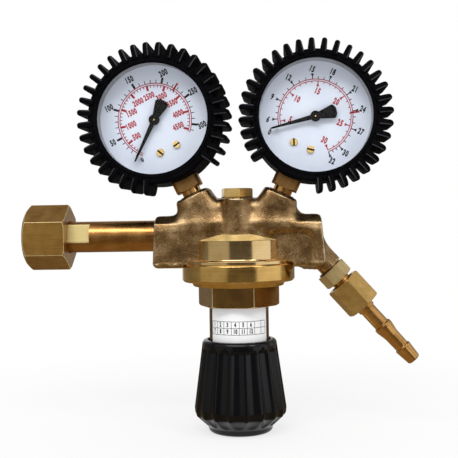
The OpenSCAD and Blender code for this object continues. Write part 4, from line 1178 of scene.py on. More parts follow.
        # Radius, foot and top of the valve's bores, from the plug's thread down to the diaphragm's chamber
        bores = [(7.05, 7, 40), (6.2, -3.5, 20), (2.5, -8, 0), (10, -20, -6.5), (20, -21, -9)]
        for radius, low, high in bores:
            value = drilled(value, points, radius, low, high)
        for side in SIDES:
            value = drilled(value, local(points, self.boss_frame(side)), 6.65, -9.5, 20)
        turned = points[:, [2, 1, 0]]
        value = drilled(value, turned, 6.55, -70, 12 - self.arm_left)
        value = drilled(value, turned, 9.5, -70, -self.arm_left)
        return drilled(value, seen, 5.05, 13.3, 40)

    def uneven(self, points: np.ndarray) -> np.ndarray:
        """The forging's field with the slow unevenness of a die-forged skin."""
        x, y, z = points.T
        wave = np.sin(x * 0.55 + 1.3 * np.sin(z * 0.4)) * np.cos(z * 0.5 + 0.7 * np.sin(y * 0.6))
        return self.field(points) + 0.05 * wave

    def build(self) -> None:
        """Makes the forging and the turned part, which together stand for the body."""
        low, high = (-46, -17, -18.5), (56, 17, 27)
        verts, faces = skin(self.uneven, low, high, self.step)
        # Convex edges are painted pale, partly as abrasion and partly as painted highlight.
        spread = 0.9
        bend = sum(self.field(verts + o) for o in (*np.eye(3) * spread, *np.eye(3) * -spread))
        wear_and_sheen = np.clip((bend / spread**2) * 1.2 - 0.2, 0, 1)
        self.bench.place("forged_body", (verts, faces), self.layout.valve(), self.palette.forged,
                         "forged_brass", ["body"], wear_and_sheen=wear_and_sheen, crease=50)
        band, fillet, seat = 23.3, 1.0, -12.9
        curve = [(band + fillet * (1 - math.sin(math.radians(15 * i))),
                  seat + fillet * (1 - math.cos(math.radians(15 * i)))) for i in range(7)]
        outline = [(26, -19.9), (26, -14.7), (28.45, -14.7), (28.6, -14.5), (28.6, -13.1), (28.45, seat),
                   *curve, (band, -2.75), (band - 0.15, -2.6), (11.3, 1.9), (6.2, 1.9), (6.2, -3.5),
                   (2.5, -3.5), (2.5, -6.5), (10, -6.5), (10, -9), (20, -9), (20, -19.9)]
        # The cone takes the second finish, a painted highlight standing in for the overhead light it mirrors.
        self.bench.place("turned_band", revolved(outline, 160), self.layout.valve(), self.palette.band,
                         "bright_brass", ["body"], crease=24, second=self.palette.cone,
                         picked=lambda at: -2.5 < at.z < 1.8 and at.xy.length > 8)


@dataclass(frozen=True)
class Inlet(Assembly):
    """The inlet nut, its pipe, seal and filter.

    Attributes:
        across: Width of the nut across flats.
        length: Length of the nut.
        turn: Turn of its flats from upright, in degrees.
        thread_r: Radius of its bore.
        thread_pitch: Rise of its thread in a turn.
        pipe_r: Radius of the pipe.
        pipe_end: Place of the pipe's shoulder in the body.
        flat: Distance of the pipe's wrench flats from its axis.
        flat_turn: Turn of those flats, in degrees.
        flat_reach: How far they reach past the nut.
    """

    across: float = 30.0
    length: float = 22.6
    turn: float = 1.5
    thread_r: float = 10.9
    thread_pitch: float = 1.814
    pipe_r: float = 8.2
    pipe_end: float = 69.3
    flat: float = 6.6
    flat_turn: float = 17.0
    flat_reach: float = 11.6

    def build(self) -> None:
        """Makes the threaded nut and dresses the pieces behind it."""
        wall = self.thread_r
        bore = ((wall + 0.35, 0.0), (wall, 0.35), (wall, 9.0), (11.3, 9.2), (11.3, 14.5), (8.6, 14.5),
                (8.6, self.length))
        nut = Bar(hexagonal(self.across, self.turn + 30), self.length, bore, 3.6, 1.2)
        ridge = thread(wall, 0.98, self.thread_pitch, 0.2, 9.2, inside=True)
        # The nut's bevels take the pale edge finish, painted highlight lines along its corners.
        self.bench.place("inlet_union_nut", nut.mesh(), self.layout.inlet(), self.palette.inlet_bar,
                         "turned_brass", ["inlet_nut"], body="inlet_union", bevel=0.3, crease=24,
                         second=self.palette.rubbed)
        self.bench.place("inlet_union_thread", ridge, self.layout.inlet(), self.palette.inlet_bar,
                         "turned_brass", body="inlet_union", crease=40)
        self.pipe()
        self.bench.dress(self.palette.fluoroplastic, "inlet_seal")
        self.bench.dress(self.palette.bronze, "inlet_filter")

    def pipe(self) -> None:
        """Makes the polished pipe with its collar, its tail and two milled wrench flats."""
        radius, end, tilt = self.pipe_r, self.pipe_end, math.radians(self.flat_turn)
        low, high = 15.5, self.length + self.flat_reach

        def ring(r: float, z: float) -> Callable[[float], Point]:
            """A round row of the skin."""
            return lambda _angle: (r, z)

        def milled(z: float) -> Callable[[float], Point]:
            """A row that the two wrench flats cut into."""
            return lambda angle: (min(radius, self.flat / max(abs(math.sin(angle + tilt)), 0.1)), z)

        collar = ((9.3, 10.6), (9.7, 11.0), (9.7, 13.8), (9.3, 14.2), (radius, 14.2), (radius, low))
        tail = ((radius, high), (radius, end), (6.5, end), (6.5, end + 12), (2.5, end + 12), (2.5, 20.6),
                (3.8, 20.6), (3.8, 10.6))
        rows = [*[ring(*p) for p in collar], milled(low), milled(high), *[ring(*p) for p in tail]]
        mesh = swept(rows, even_angles(120))
        self.bench.place("polished_pipe", mesh, self.layout.inlet(), self.palette.inlet_tube, "turned_brass",
                         ["inlet_pipe"], crease=20, second=self.palette.milled,
                         picked=lambda at: low < at.z < high and at.xy.length < radius - 0.02)


@dataclass(frozen=True)
class Valve(Assembly):
    """The valve plug on top of the body, and the valve train inside it.

    Attributes:
        across: Width of the plug's head across flats.
        height: Height of the head.
        turn: Direction of one corner of the head, in degrees.
        seat: Height of the head's seat above the inlet axis.
    """

    across: float = 15.0
    height: float = 4.5
    turn: float = -76.5
    seat: float = 19.8

    def build(self) -> None:
        """Makes the plug and dresses the hidden pieces."""
        shank = [(5, -11.8), (7, -11.8), (7, -0.01), (5, -0.01)]
        core = ((0.02, 0.0), (0.02, self.height))
        head = Bar(hexagonal(self.across, self.turn + 30), self.height, core, high_cut=1.0)
        self.bench.place("valve_plug_head", head.mesh(), self.layout.valve(self.seat), self.palette.plug,
                         "bright_brass", ["valve_plug"], bevel=0.3, crease=24)
        self.bench.place("valve_plug_shank", revolved(shank, 64), self.layout.valve(self.seat),
                         self.palette.plug, "bright_brass", ["valve_plug"])
        self.bench.dress(self.palette.copper, "plug_washer", "adapter_washer")
        self.bench.dress(self.palette.wire, "poppet_spring", "main_spring")
        self.bench.dress(self.palette.plug, "valve_seat", "slip_ring", "poppet")
        self.bench.dress(self.palette.steel, "push_pin", "diaphragm_plate", "plate_nut", "spring_button",
                         "adjusting_screw")
        self.bench.dress(self.palette.diaphragm, "diaphragm")


@dataclass(frozen=True)
class Bonnet(Assembly):
    """The bonnet: flange, neck ring, hexagon and spring tube, with the label round it.

    Attributes:
        flange_z: Height of the flange's lower face.
        hex_z: Height of the hexagon's lower face.
        hex_l: Height of the hexagon itself.
        across: Its width across flats.
        turn: Direction of one of its corners, in degrees from the front.
        tube_r: Radius of the spring tube.
        tube_end: Height of the tube's lower end.
        label_z: Height of the label's lower edge, inside the knob's rim.
        label_ends: Directions of the label's two ends, in degrees from the front.
    """

    flange_z: float = -24.1
    hex_z: float = -37.1
    hex_l: float = 10.6
    across: float = 37.2
    turn: float = 24.1
    tube_r: float = 15.6
    tube_end: float = -79.1
    label_z: float = -56.4
    label_ends: Point = (-58.5, 65.5)

    def build(self) -> None:
        """Makes the bonnet and its printed label."""
        top, hexagon, foot = self.flange_z, self.hex_z, self.tube_end
        outline = rounded([
            (5.05, foot, 0), (self.tube_r, foot, 0.5), (self.tube_r, hexagon + 0.4, 0),
            (18.6, hexagon + 0.4, 0), (18.6, top - 2.4, 0), (23.6, top - 2.4, 0.2), (24.8, top, 0.1),
            (28.4, top, 0), (29.5, top + 1.1, 0.6), (29.5, -15.3, 0.5),
            (29.0, -14.7, 0.2), (26.05, -14.7, 0), (26.05, -21.9, 0), (16.5, -21.9, 0),
            (16.5, -25.9, 0), (13.6, -25.9, 0), (13.6, foot + 8, 0), (5.05, foot + 8, 0)], 3)
        self.bench.place("bonnet_shell", revolved(outline, 160), self.layout.valve(), self.palette.bonnet,
                         "bonnet_brass", ["bonnet"], crease=24, second=self.palette.tube,
                         picked=lambda at: at.z < hexagon + 0.3)
        core = ((14.5, 0.0), (14.5, self.hex_l))
        grip = Bar(hexagonal(self.across, self.turn - 90 + 30), self.hex_l, core, low_cut=1.4)
        # The hexagon's bevels take the pale edge finish, painted highlight lines along its corners.
        self.bench.place("bonnet_hexagon", grip.mesh(), self.layout.valve(hexagon), self.palette.grip,
                         "bonnet_brass", ["bonnet"], bevel=1.0, crease=24, second=self.palette.rubbed)
        self.label()
        self.print_label()

    def label(self) -> None:
        """Wraps the label's film round the tube, its lower end just inside the knob's rim."""
        inner, outer, low, high = self.tube_r + 0.02, self.tube_r + 0.14, self.label_z, self.hex_z - 0.3
        section = [(inner, low), (outer, low), (outer, high), (inner, high)]
        first, last = (end - 90 for end in self.label_ends)
        self.bench.place("wrapped_label", wrapped(section, first, last, 48), self.layout.valve(),
                         self.palette.film, "label_paper", ["label"])

    def print_label(self) -> None:
        """Prints the label's grid of plain numbers, bent round the tube."""
        radius, top = self.tube_r + 0.12 + 0.02, self.hex_z - 0.3
        start, pitch, row, line = -57.0, 15.0, 3.4, 0.24
        columns = [start + pitch * i for i in range(8)] + [start + pitch * 7 + 12]
        rows = [top - 6.7 - row * i for i in range(3)]
        arc = radius * math.pi / 180
        strips = [(c * arc - line / 2, rows[-1], c * arc + line / 2, rows[0]) for c in columns]
        strips += [(columns[0] * arc, z - line / 2, columns[-1] * arc, z + line / 2) for z in rows]
        pieces = [sliced(s) for s in strips]
        for i in range(12):
            middle = (columns[i % 6] + pitch / 2) * arc
            height = rows[i // 6] - row / 2
            pieces.append(moved(numeral(str(i + 1), 2.2), Matrix.Translation((middle, height, 0))))
        flat, faces = joined(pieces)
        around = flat[:, 0] / radius - math.pi / 2
        out = radius + flat[:, 2]
        bent = np.stack([out * np.cos(around), out * np.sin(around), flat[:, 1]], 1)
        self.bench.place("label_print", (bent, faces), self.layout.valve(), self.palette.black_ink,
                         "label_paper")


def sliced(box: tuple[float, float, float, float]) -> Mesh:
    """Cuts a printed strip into short lengths, so that it can bend round a tube.

    Args:
        box: Left, lower, right and upper edge of the strip, in millimetres.

    Returns:
        The strip's faces, in its own plane.
    """
    width = 0.6
    x0, y0, x1, y1 = box
    count = max(1, math.ceil((x1 - x0) / width))
    parts = []
    for i in range(count):
        a, b = x0 + (x1 - x0) * i / count, x0 + (x1 - x0) * (i + 1) / count
        parts.append(slab([(a, y0), (b, y0), (b, y1), (a, y1)], 0, INK_THICK))
    return joined(parts)


def numeral(text: str, height: float) -> Mesh:
    """Sets a plain number as a thin mesh, centred on the origin.

    Args:
        text: The number.
        height: Height of its digits in millimetres.

    Returns:
        Its mesh in the XY plane.
    """
    squeeze, em = 0.62, 1.38
    curve = bpy.data.curves.new("numeral", "FONT")
    curve.body, curve.align_x, curve.align_y = text, "CENTER", "CENTER"
    curve.size, curve.extrude, curve.resolution_u = height * em, INK_THICK / 2, 3
    curve.offset, curve.space_character = 0.075 * height, 1.18
    holder = bpy.data.objects.new("numeral", curve)
    mesh = bpy.data.meshes.new_from_object(holder)
    verts = np.array([v.co for v in mesh.vertices]).reshape(-1, 3) * np.array([squeeze, 1, 1])
    faces = [tuple(p.vertices) for p in mesh.polygons]
    bpy.data.objects.remove(holder)
    bpy.data.curves.remove(curve)
    bpy.data.meshes.remove(mesh)
    return verts + np.array([0, 0, INK_THICK / 2]), faces


@dataclass(frozen=True)
class Knob(Assembly):
    """The fluted adjusting knob.

    Attributes:
        base: Height of its lowest face.
        height: Its own height.
        ribs: Number of flutes.
        depth: Depth of the flutes at mid height.
    """

    base: float = -103.1
    height: float = 48.4
    ribs: int = 18
    depth: float = 1.35

    def flute(self, angle: float, height: float) -> float:
        """Depth of the flutes at one place on the knob's side.

        Args:
            angle: Direction round the axis, in radians.
            height: Height over the knob's foot, in millimetres.

        Returns:
            How far the side stands back there, in millimetres.
        """
        low, high, end = 4.4, self.height - 3.6, 2.2
        if not low < height < high:
            return 0.0
        near = min((height - low) / end, (high - height) / end, 1.0)
        width = math.sqrt(1 - (1 - near) ** 2)
        pitch = 2 * math.pi / self.ribs
        share = ((angle + math.pi / 2 + pitch / 2) % pitch - pitch / 2) / (pitch / 2 * 0.86)
        edge = 1 - (share / max(width, 1e-3)) ** 2
        return self.depth * width * max(0.0, edge) ** 0.85

    def build(self) -> None:
        """Makes the knob as a skin whose radius follows its flutes."""
        profile = rounded([(16.94, 0, 2.0), (16.94, 2.8, 0.7), (23.9, 9.2, 2.6), (24.2, 12.4, 4),
                           (19.8, self.height - 3.8, 6), (19.4, self.height, 2.2), (16.6, self.height, 0.5),
                           (16.6, 11, 0.4), (5.0, 11, 0), (5.0, 0, 0)], 6)
        outline: list[Point] = []
        for a, b in zip(profile, [*profile[1:], profile[0]]):
            outside = min(a[0], b[0]) > 16.9
            parts = max(1, round(math.dist(a, b) / 0.8)) if outside else 1
            outline += [(a[0] + (b[0] - a[0]) * i / parts, a[1] + (b[1] - a[1]) * i / parts)
                        for i in range(parts)]

        def row(point: Point) -> Callable[[float], Point]:
            """The knob's outline at one of its points, fluted where it is the outer side."""
            radius, height = point
            cut = radius > 17.2
            return lambda angle: (radius - (self.flute(angle, height) if cut else 0), height)

        mesh = swept([row(p) for p in outline], even_angles(self.ribs * 16))
        self.bench.place("fluted_knob", mesh, self.layout.valve(self.base), self.palette.knob,
                         "knob_plastic", ["knob"], body="adjuster", crease=38)


@dataclass(frozen=True)
class Outlet(Assembly):
    """The outlet's adapter, nut and hose barb.

    Attributes:
        adapter_s: Distance of the adapter's hexagon along the outlet axis.
        adapter_af: Its width across flats.
        adapter_l: Its length.
        adapter_r: Radius of the adapter's threaded end.
        nut_s: Distance of the nut.
        nut_af: Its width across flats.
        nut_l: Its length.
        nut_turn: Direction of one of its flats, in degrees.
    """

    adapter_s: float = 25.1
    adapter_af: float = 14.0
    adapter_l: float = 7.5
    adapter_r: float = 6.2
    nut_s: float = 34.5
    nut_af: float = 17.0
    nut_l: float = 16.5
    nut_turn: float = 165.0

    def build(self) -> None:
        """Makes the three pieces along the outlet axis."""
        wall = self.adapter_r
        core = ((2.0, 0.0), (2.0, self.adapter_l))
        hexagon = Bar(hexagonal(self.adapter_af, 30), self.adapter_l, core, 0.4, 0.9)
        self.bench.place("outlet_adapter_hexagon", hexagon.mesh(), self.layout.outlet(self.adapter_s),
                         self.palette.adapter, "turned_brass", ["outlet_adapter"], bevel=0.25, crease=24)
        neck = rounded([(2.0, -10.8, 0), (5.0, -10.8, 0.3), (5.0, 10.0, 0.5), (wall, 10.3, 0.2),
                        (wall, 18.4, 0.3), (2.0, 18.4, 0)], 2)
        self.bench.place("outlet_adapter_neck", revolved(neck, 64), self.layout.outlet(self.adapter_s),
                         self.palette.barb, "turned_brass", ["outlet_adapter"], crease=24)
        ridge = thread(wall, 0.4, 1.0, 10.1, 18.2, inside=False)
        self.bench.place("outlet_adapter_thread", ridge, self.layout.outlet(self.adapter_s),
                         self.palette.barb, "turned_brass", crease=40)
        bore = ((6.9, 0.0), (6.9, 11.8), (5.0, 11.8), (5.0, self.nut_l))
        nut = Bar(hexagonal(self.nut_af, self.nut_turn), self.nut_l, bore, 0.9, 0.9)
        self.bench.place("outlet_union_nut", nut.mesh(), self.layout.outlet(self.nut_s),
                         self.palette.outlet_bar, "turned_brass", ["outlet_nut"], body="outlet_union",
                         bevel=0.25, crease=24)
        profile = rounded([
            (2.0, 43.8, 0), (6.2, 43.8, 0.2), (6.2, 46.0, 0.2), (4.7, 46.0, 0), (4.7, 53.3, 0.4),
            (4.2, 53.6, 0), (4.05, 54.1, 0.3), (4.05, 64.4, 0.2), (4.85, 65.1, 0.25),
            (4.85, 66.7, 0.8), (3.9, 72.0, 2.5), (3.75, 79.8, 0.2), (4.4, 80.3, 0.25), (4.4, 81.0, 0.4),
            (3.6, 88.8, 0.3), (3.1, 89.3, 0), (2.0, 89.3, 0)], 3)
        self.bench.place("hose_barb_tail", revolved(profile, 72), self.layout.outlet(), self.palette.barb,
                         "polished_brass", ["hose_barb"], crease=24)


class Ink(Enum):
    """The two printing inks of a dial."""

    BLACK = "black"
    RED = "red"


@dataclass(frozen=True)
class Scale:
    """One printed scale of a dial.

    Attributes:
        ink: Its ink.
        numbers: Each printed number with its direction in degrees, seen on the dial.
        minors: Directions of the small ticks.
        inner: Radius at which its ticks start.
        reach: Length of a small tick, below 0 where the ticks point inwards.
        major: Length of a numbered tick.
        number_r: Radius of the numbers' centres.
        height: Height of the digits.
        arrow: Whether the numbered ticks end in an arrowhead.
    """

    ink: Ink
    numbers: tuple[tuple[str, float], ...]
    minors: tuple[float, ...]
    inner: float
    reach: float
    major: float
    number_r: float
    height: float
    arrow: bool = False

    def meshes(self) -> list[Mesh]:
        """Returns the scale's ticks and numbers in the dial's plane."""
        fine, wide = 0.42, 0.5 if self.arrow else 1.15
        parts = [tick(a, self.inner, self.inner + self.reach, fine) for a in self.minors]
        for text, angle in self.numbers:
            parts.append(tick(angle, self.inner, self.inner + self.major, wide))
            if self.arrow:
                parts.append(arrowhead(angle, self.inner + self.major * 0.7, 0.8,
                                       1.9 if self.major > 0 else -1.9))
            parts.append(figure(text, angle, self.number_r, self.height))
        return parts


def figure(text: str, angle: float, radius: float, height: float) -> Mesh:
    """Returns an upright number whose centre lies at a direction and radius on a dial."""
    way = math.radians(angle)
    centre = Matrix.Translation((radius * math.cos(way), radius * math.sin(way), 0))
    return moved(numeral(text, height), centre)


def tick(angle: float, start: float, end: float, width: float) -> Mesh:
    """Returns a short radial line on a dial, as a thin slab."""
    half = width / 2
    turn = Matrix.Rotation(math.radians(angle), 4, "Z")
    return moved(slab([(start, -half), (end, -half), (end, half), (start, half)], 0, INK_THICK), turn)


def arrowhead(angle: float, start: float, half: float, length: float) -> Mesh:
    """Returns a small triangle that widens away from the arc, a hair above its tick."""
    turn = Matrix.Rotation(math.radians(angle), 4, "Z")
    return moved(slab([(start - length / 2, 0), (start + length / 2, -half), (start + length / 2, half)],
                      0, INK_THICK + 0.001), turn)


def ring_arc(start: float, end: float, radius: float, width: float) -> Mesh:
    """Returns a thin printed arc between two directions in degrees."""
    near, far = radius - width / 2, radius + width / 2
    return wrapped([(near, 0), (far, 0), (far, INK_THICK), (near, INK_THICK)], start, end,
                   round((end - start) / 3))


def tilted(side: int, angle: float) -> float:
    """Turns a direction seen in the picture into one on the tilted dial."""
    return angle + side * math.degrees(GAUGE_TILT)


def bar_angle(value: float) -> float:
    """Direction of a pressure in bar on the left dial, whose 315 bar fill 270 degrees from 225."""
    return 225 - value * 270 / 315


def cylinder_scales() -> list[Scale]:
    """The left dial: cylinder pressure in two units, zero at the lower left."""
    bars = tuple((str(v), bar_angle(v)) for v in range(50, 301, 50))
    fine = tuple(bar_angle(v) for v in range(10, 316, 10) if v % 50)
    pounds = tuple((str(v), bar_angle(v * BAR_PER_PSI)) for v in range(500, 4501, 500))
    fine_pounds = tuple(bar_angle(v * BAR_PER_PSI) for v in range(100, 4501, 100) if v % 500)
    return [Scale(Ink.BLACK, bars, fine, 19.3, 1.5, 2.9, 24.6, 3.0),
            Scale(Ink.RED, pounds, fine_pounds, 18.2, -1.3, -2.8, 12.6, 2.9)]


def flow_scales() -> list[Scale]:
    """The right dial: flow outside and pressure inside, both uneven, as a flow scale is."""
    outside = ((6, 182.3), (9, 154.2), (12, 123.6), (15, 93.2), (18, 67.9), (21, 33.4), (24, 7.3),
               (27, -19.9), (30, -51.9), (32, -70.5))
    inside = ((5, 186.0), (10, 135.4), (15, 84.7), (20, 34.3), (25, -16.1), (30, -70.5))

    def between(marks: Sequence[tuple[int, float]], parts: int) -> tuple[float, ...]:
        """Angles that part the stretch between each two numbers evenly."""
        made = []
        for (_, a), (_, b) in zip(marks, marks[1:]):
            made += [tilted(1, a + (b - a) * i / parts) for i in range(1, parts)]
        return tuple(made)

    named = tuple((str(v), tilted(1, a)) for v, a in outside)
    reds = tuple((str(v), tilted(1, a)) for v, a in inside)
    return [Scale(Ink.BLACK, named, between(outside, 3), 19.2, 1.2, 2.6, 24.2, 3.0, arrow=True),
            Scale(Ink.RED, reds, between(inside, 5), 18.2, -1.1, -2.7, 12.9, 3.1, arrow=True)]


@dataclass(frozen=True)
class Gauge(Assembly):
    """One gauge in its finned rubber boot.

    Attributes:
        side: -1 for the left gauge, 1 for the right one.
        scales: The printed scales of its dial.
        limit: Direction of the red limit line on the dial, in degrees.
        arc: The first and last direction of the printed arc.
        zero: Direction and radius of the printed zero.
        open_r: Radius of the boot's opening.
        fin_turn: How far the boot is turned on the case, in degrees.
        dial_y: Depth of the dial's face in front of the stem axis.
        fins: Number of fin places around the boot.
        bare: Half the angle round the stem that has no fins, in degrees.
        stem_z: Height of the square stem's foot from the gauge's centre.
        screw_r: Distance of the dial's screws from its centre.
    """

    side: int
    scales: Sequence[Scale]
    limit: float
    arc: Point
    zero: Point
    open_r: float
    fin_turn: float
    dial_y: float = 11.0
    fins: int = 36
    bare: float = 24.0
    stem_z: float = -39.4
    screw_r: float = 16.9

    @property
    def name(self) -> str:
        """Left or right."""
        return SIDES[self.side]

    def front(self, depth: float) -> Matrix:
        """Frame on the gauge's axis whose XY plane faces the reader at a depth."""
        return self.layout.gauge(self.side) @ Matrix.Translation((0, -depth, 0)) @ Matrix.Rotation(
            math.pi / 2, 4, "X")

    def build(self) -> None:
        """Makes the gauge's pieces and dresses the rest."""
        self.boot()
        self.inner_ring()
        self.socket()
        self.dial_screws()
        self.print_dial()
        palette = self.palette
        finishes = {"case": palette.case, "dial": palette.dial, "window": palette.clear,
                    "pointer": palette.lacquer, "stop_pin": palette.steel, "stem_washer": palette.copper,
                    "pinion": palette.plug, "movement_frame": palette.plug, "sector_gear": palette.plug,
                    "bourdon_tube": palette.plug, "link": palette.steel}
        for part, finish in finishes.items():
            self.bench.dress(finish, f"{self.name}_{part}")

    def fin(self, place: int) -> Mesh:
        """One fin of the boot: a round-edged blade that runs its full depth and wraps over the lip.

        Args:
            place: Number of the fin, counted round the boot.

        Returns:
            The fin, in the gauge's frame.
        """
        profile = rounded([(30.1, 21.0, 0), (30.1, 23.7, 1.4), (38.0, 23.5, 2.6), (39.1, 18, 3),
                           (39.1, -6.8, 3.4), (36.6, -9.6, 2.2), (31.6, -9.6, 0), (31.6, 21.0, 0)], 4)
        line = np.array(profile)
        along = np.roll(line, -1, axis=0) - np.roll(line, 1, axis=0)
        inward = np.stack([along[:, 1], -along[:, 0]], 1) / np.linalg.norm(along, axis=1)[:, None]
        half = np.interp(line[:, 0], [31, 34, 39.1], [1.6, 1.45, 1.32])
        loops = []
        for degrees in (-90, -60, -32, 0, 32, 60, 90):
            turn = math.radians(degrees)
            inset = line + inward * (1.1 * (1 - math.cos(turn)))
            loops.append(np.stack([inset[:, 0], half * math.sin(turn), inset[:, 1]], 1))
        turn = math.radians(90 - (place + 0.5) * 360 / self.fins + self.fin_turn)
        return moved(lofted(loops), Matrix.Rotation(turn, 4, "Z"))

    def boot(self) -> None:
        """Makes the rubber boot with its fins, none of them near the stem."""
        front, back, lip = 22.9, -10.9, self.open_r
        shell = rounded([(lip, 20.3, 0), (lip, front - 0.7, 0.6), (lip + 0.8, front, 0.6), (29.7, front, 0.4),
                         (30.4, front - 0.8, 0.3), (32.3, front - 0.8, 1.2), (33.2, front - 3.4, 1),
                         (34.0, -8.5, 0), (34.0, back, 1.2), (26.0, back, 0.6), (26.0, -9.5, 0),
                         (31.1, -9.5, 0), (31.1, 20.3, 0)], 4)
        parts = [revolved(shell, 144)]
        for place in range(self.fins):
            away = abs((place + 0.5) * 360 / self.fins - self.fin_turn - 180)
            if away > self.bare:
                parts.append(self.fin(place))
        # Each fin's clockwise front edge takes a grey painted highlight.
        self.bench.place(f"{self.name}_finned_boot", joined(parts), self.front(0), self.palette.boot,
                         "boot_rubber", [f"{self.name}_boot"], crease=40, second=self.palette.bloom,
                         picked=self.on_edge)

    def on_edge(self, at: Vector) -> bool:
        """Says whether a point lies on the clockwise front edge of a fin, where the painted highlight shows.
        """
        reach, pitch = at.xy.length, 360 / self.fins
        turn = math.degrees(math.atan2(at.x, at.y)) + self.fin_turn
        aside = math.radians((turn % pitch) - pitch / 2) * reach
        return at.z > 21.6 and reach > 32.6 and 0.72 < aside < 1.28

    def inner_ring(self) -> None:
        """Makes the grey ring that keeps the window off the dial."""
        ring = rounded([(28.3, 11.05, 0), (28.5, 17.8, 0.3), (28.9, 18.3, 0.3), (29.9, 18.3, 0),
                        (29.9, 11.05, 0)], 3)
        self.bench.place(f"{self.name}_inner_ring", revolved(ring, 120), self.front(0),
                         self.palette.spacer, "case_steel", crease=40)

    def socket(self) -> None:
        """Makes the square stem with its broken corners and its neck."""
        square = tuple((90 * i, 7.0) for i in range(4)) + tuple((90 * i + 45, 8.7) for i in range(4))
        stem = Bar(square, 8.5, ((1.5, 0.0), (1.5, 8.5)), 1.3, 0.0)
        spot = self.layout.gauge(self.side) @ Matrix.Translation((0, 0, self.stem_z))
        name, socket = self.name, [f"{self.name}_socket"]
        self.bench.place(f"{name}_square_stem", stem.mesh(), spot, self.stem_finish(), "turned_brass",
                         socket, bevel=0.3, crease=24)
        neck = rounded([(1.5, -13.4, 0), (6.3, -13.4, 0.4), (6.6, -4.2, 0.3), (5.0, -3.9, 0.2), (5.0, 0.4, 0),
                        (1.5, 0.4, 0)], 2)
        self.bench.place(f"{name}_stem_neck", revolved(neck, 64), spot, self.palette.barb, "turned_brass",
                         socket, crease=24)
        block = slab([(-6, 1), (6, 1), (6, 7), (-6, 7)], 8.4, 26.4)
        self.bench.place(f"{name}_tube_block", block, spot, self.stem_finish(), "turned_brass", socket,
                         bevel=0.3)

    def stem_finish(self) -> Finish:
        """Drawn bar along the gauge's own stem."""
        lean = self.side * GAUGE_TILT
        centre = tuple(self.layout.gauges[self.side])
        tones = ("#c4935c", "#d4a56c", "#e2b67c")
        return CutMetal(f"{self.name} stem bar", 0.36, tones, Lay.DRAWN, 0.3, 0.05, centre,
                        (math.sin(lean), 0, math.cos(lean)))

    def dial_screws(self) -> None:
        """Makes the two slotted screws that hold the dial."""
        head = rounded([(0.02, 0, 0), (1.95, 0, 0), (1.95, 0.12, 0), (0.02, 0.12, 0)], 3)
        slot, crown = 0.45, 1.85
        edge = math.asin(slot / crown)
        steps = [edge + (math.pi - 2 * edge) * i / 14 for i in range(15)]
        cheek = slab([(crown * math.cos(a), crown * math.sin(a)) for a in steps], 0.05, 1.0)
        parts = []
        for angle in (-106, -74):
            way = math.radians(angle)
            place = (self.screw_r * math.cos(way), self.screw_r * math.sin(way), 0)
            spot = Matrix.Translation(place) @ Matrix.Rotation(way * 2.3, 4, "Z")
            parts.append(moved(revolved(head, 40), spot))
            parts += [moved(cheek, spot @ Matrix.Rotation(half, 4, "Z")) for half in (0, math.pi)]
            parts.append(moved(revolved([(0.02, -6), (1.1, -6), (1.1, 0.01), (0.02, 0.01)], 24), spot))
        # The slots' floors take the black finish, a painted shade in the slots.
        self.bench.place(f"{self.name}_slotted_screws", joined(parts), self.front(self.dial_y),
                         self.palette.plug, "bright_brass", [f"{self.name}_dial_screws"], crease=30,
                         second=self.palette.lacquer, picked=lambda at: 0.05 < at.z < 0.2)

    def print_dial(self) -> None:
        """Prints the scales, the arc and the red limit line on the dial."""
        inks: dict[Ink, list[Mesh]] = {Ink.BLACK: [], Ink.RED: []}
        for scale in self.scales:
            inks[scale.ink] += scale.meshes()
        low, high = self.arc
        inks[Ink.RED] += [ring_arc(low, high, 19.05, 0.46), ring_arc(low, high, 18.1, 0.4)]
        inks[Ink.RED].append(tick(self.limit, 17.6, 22.4, 0.95))
        inks[Ink.BLACK].append(figure("0", *self.zero, 2.8))
        finishes = {Ink.BLACK: self.palette.black_ink, Ink.RED: self.palette.red_ink}
        for ink, parts in inks.items():
            self.bench.place(f"{self.name}_dial_{ink.value}_print", joined(parts),
                             self.front(self.dial_y + 0.01), finishes[ink], "dial_enamel")


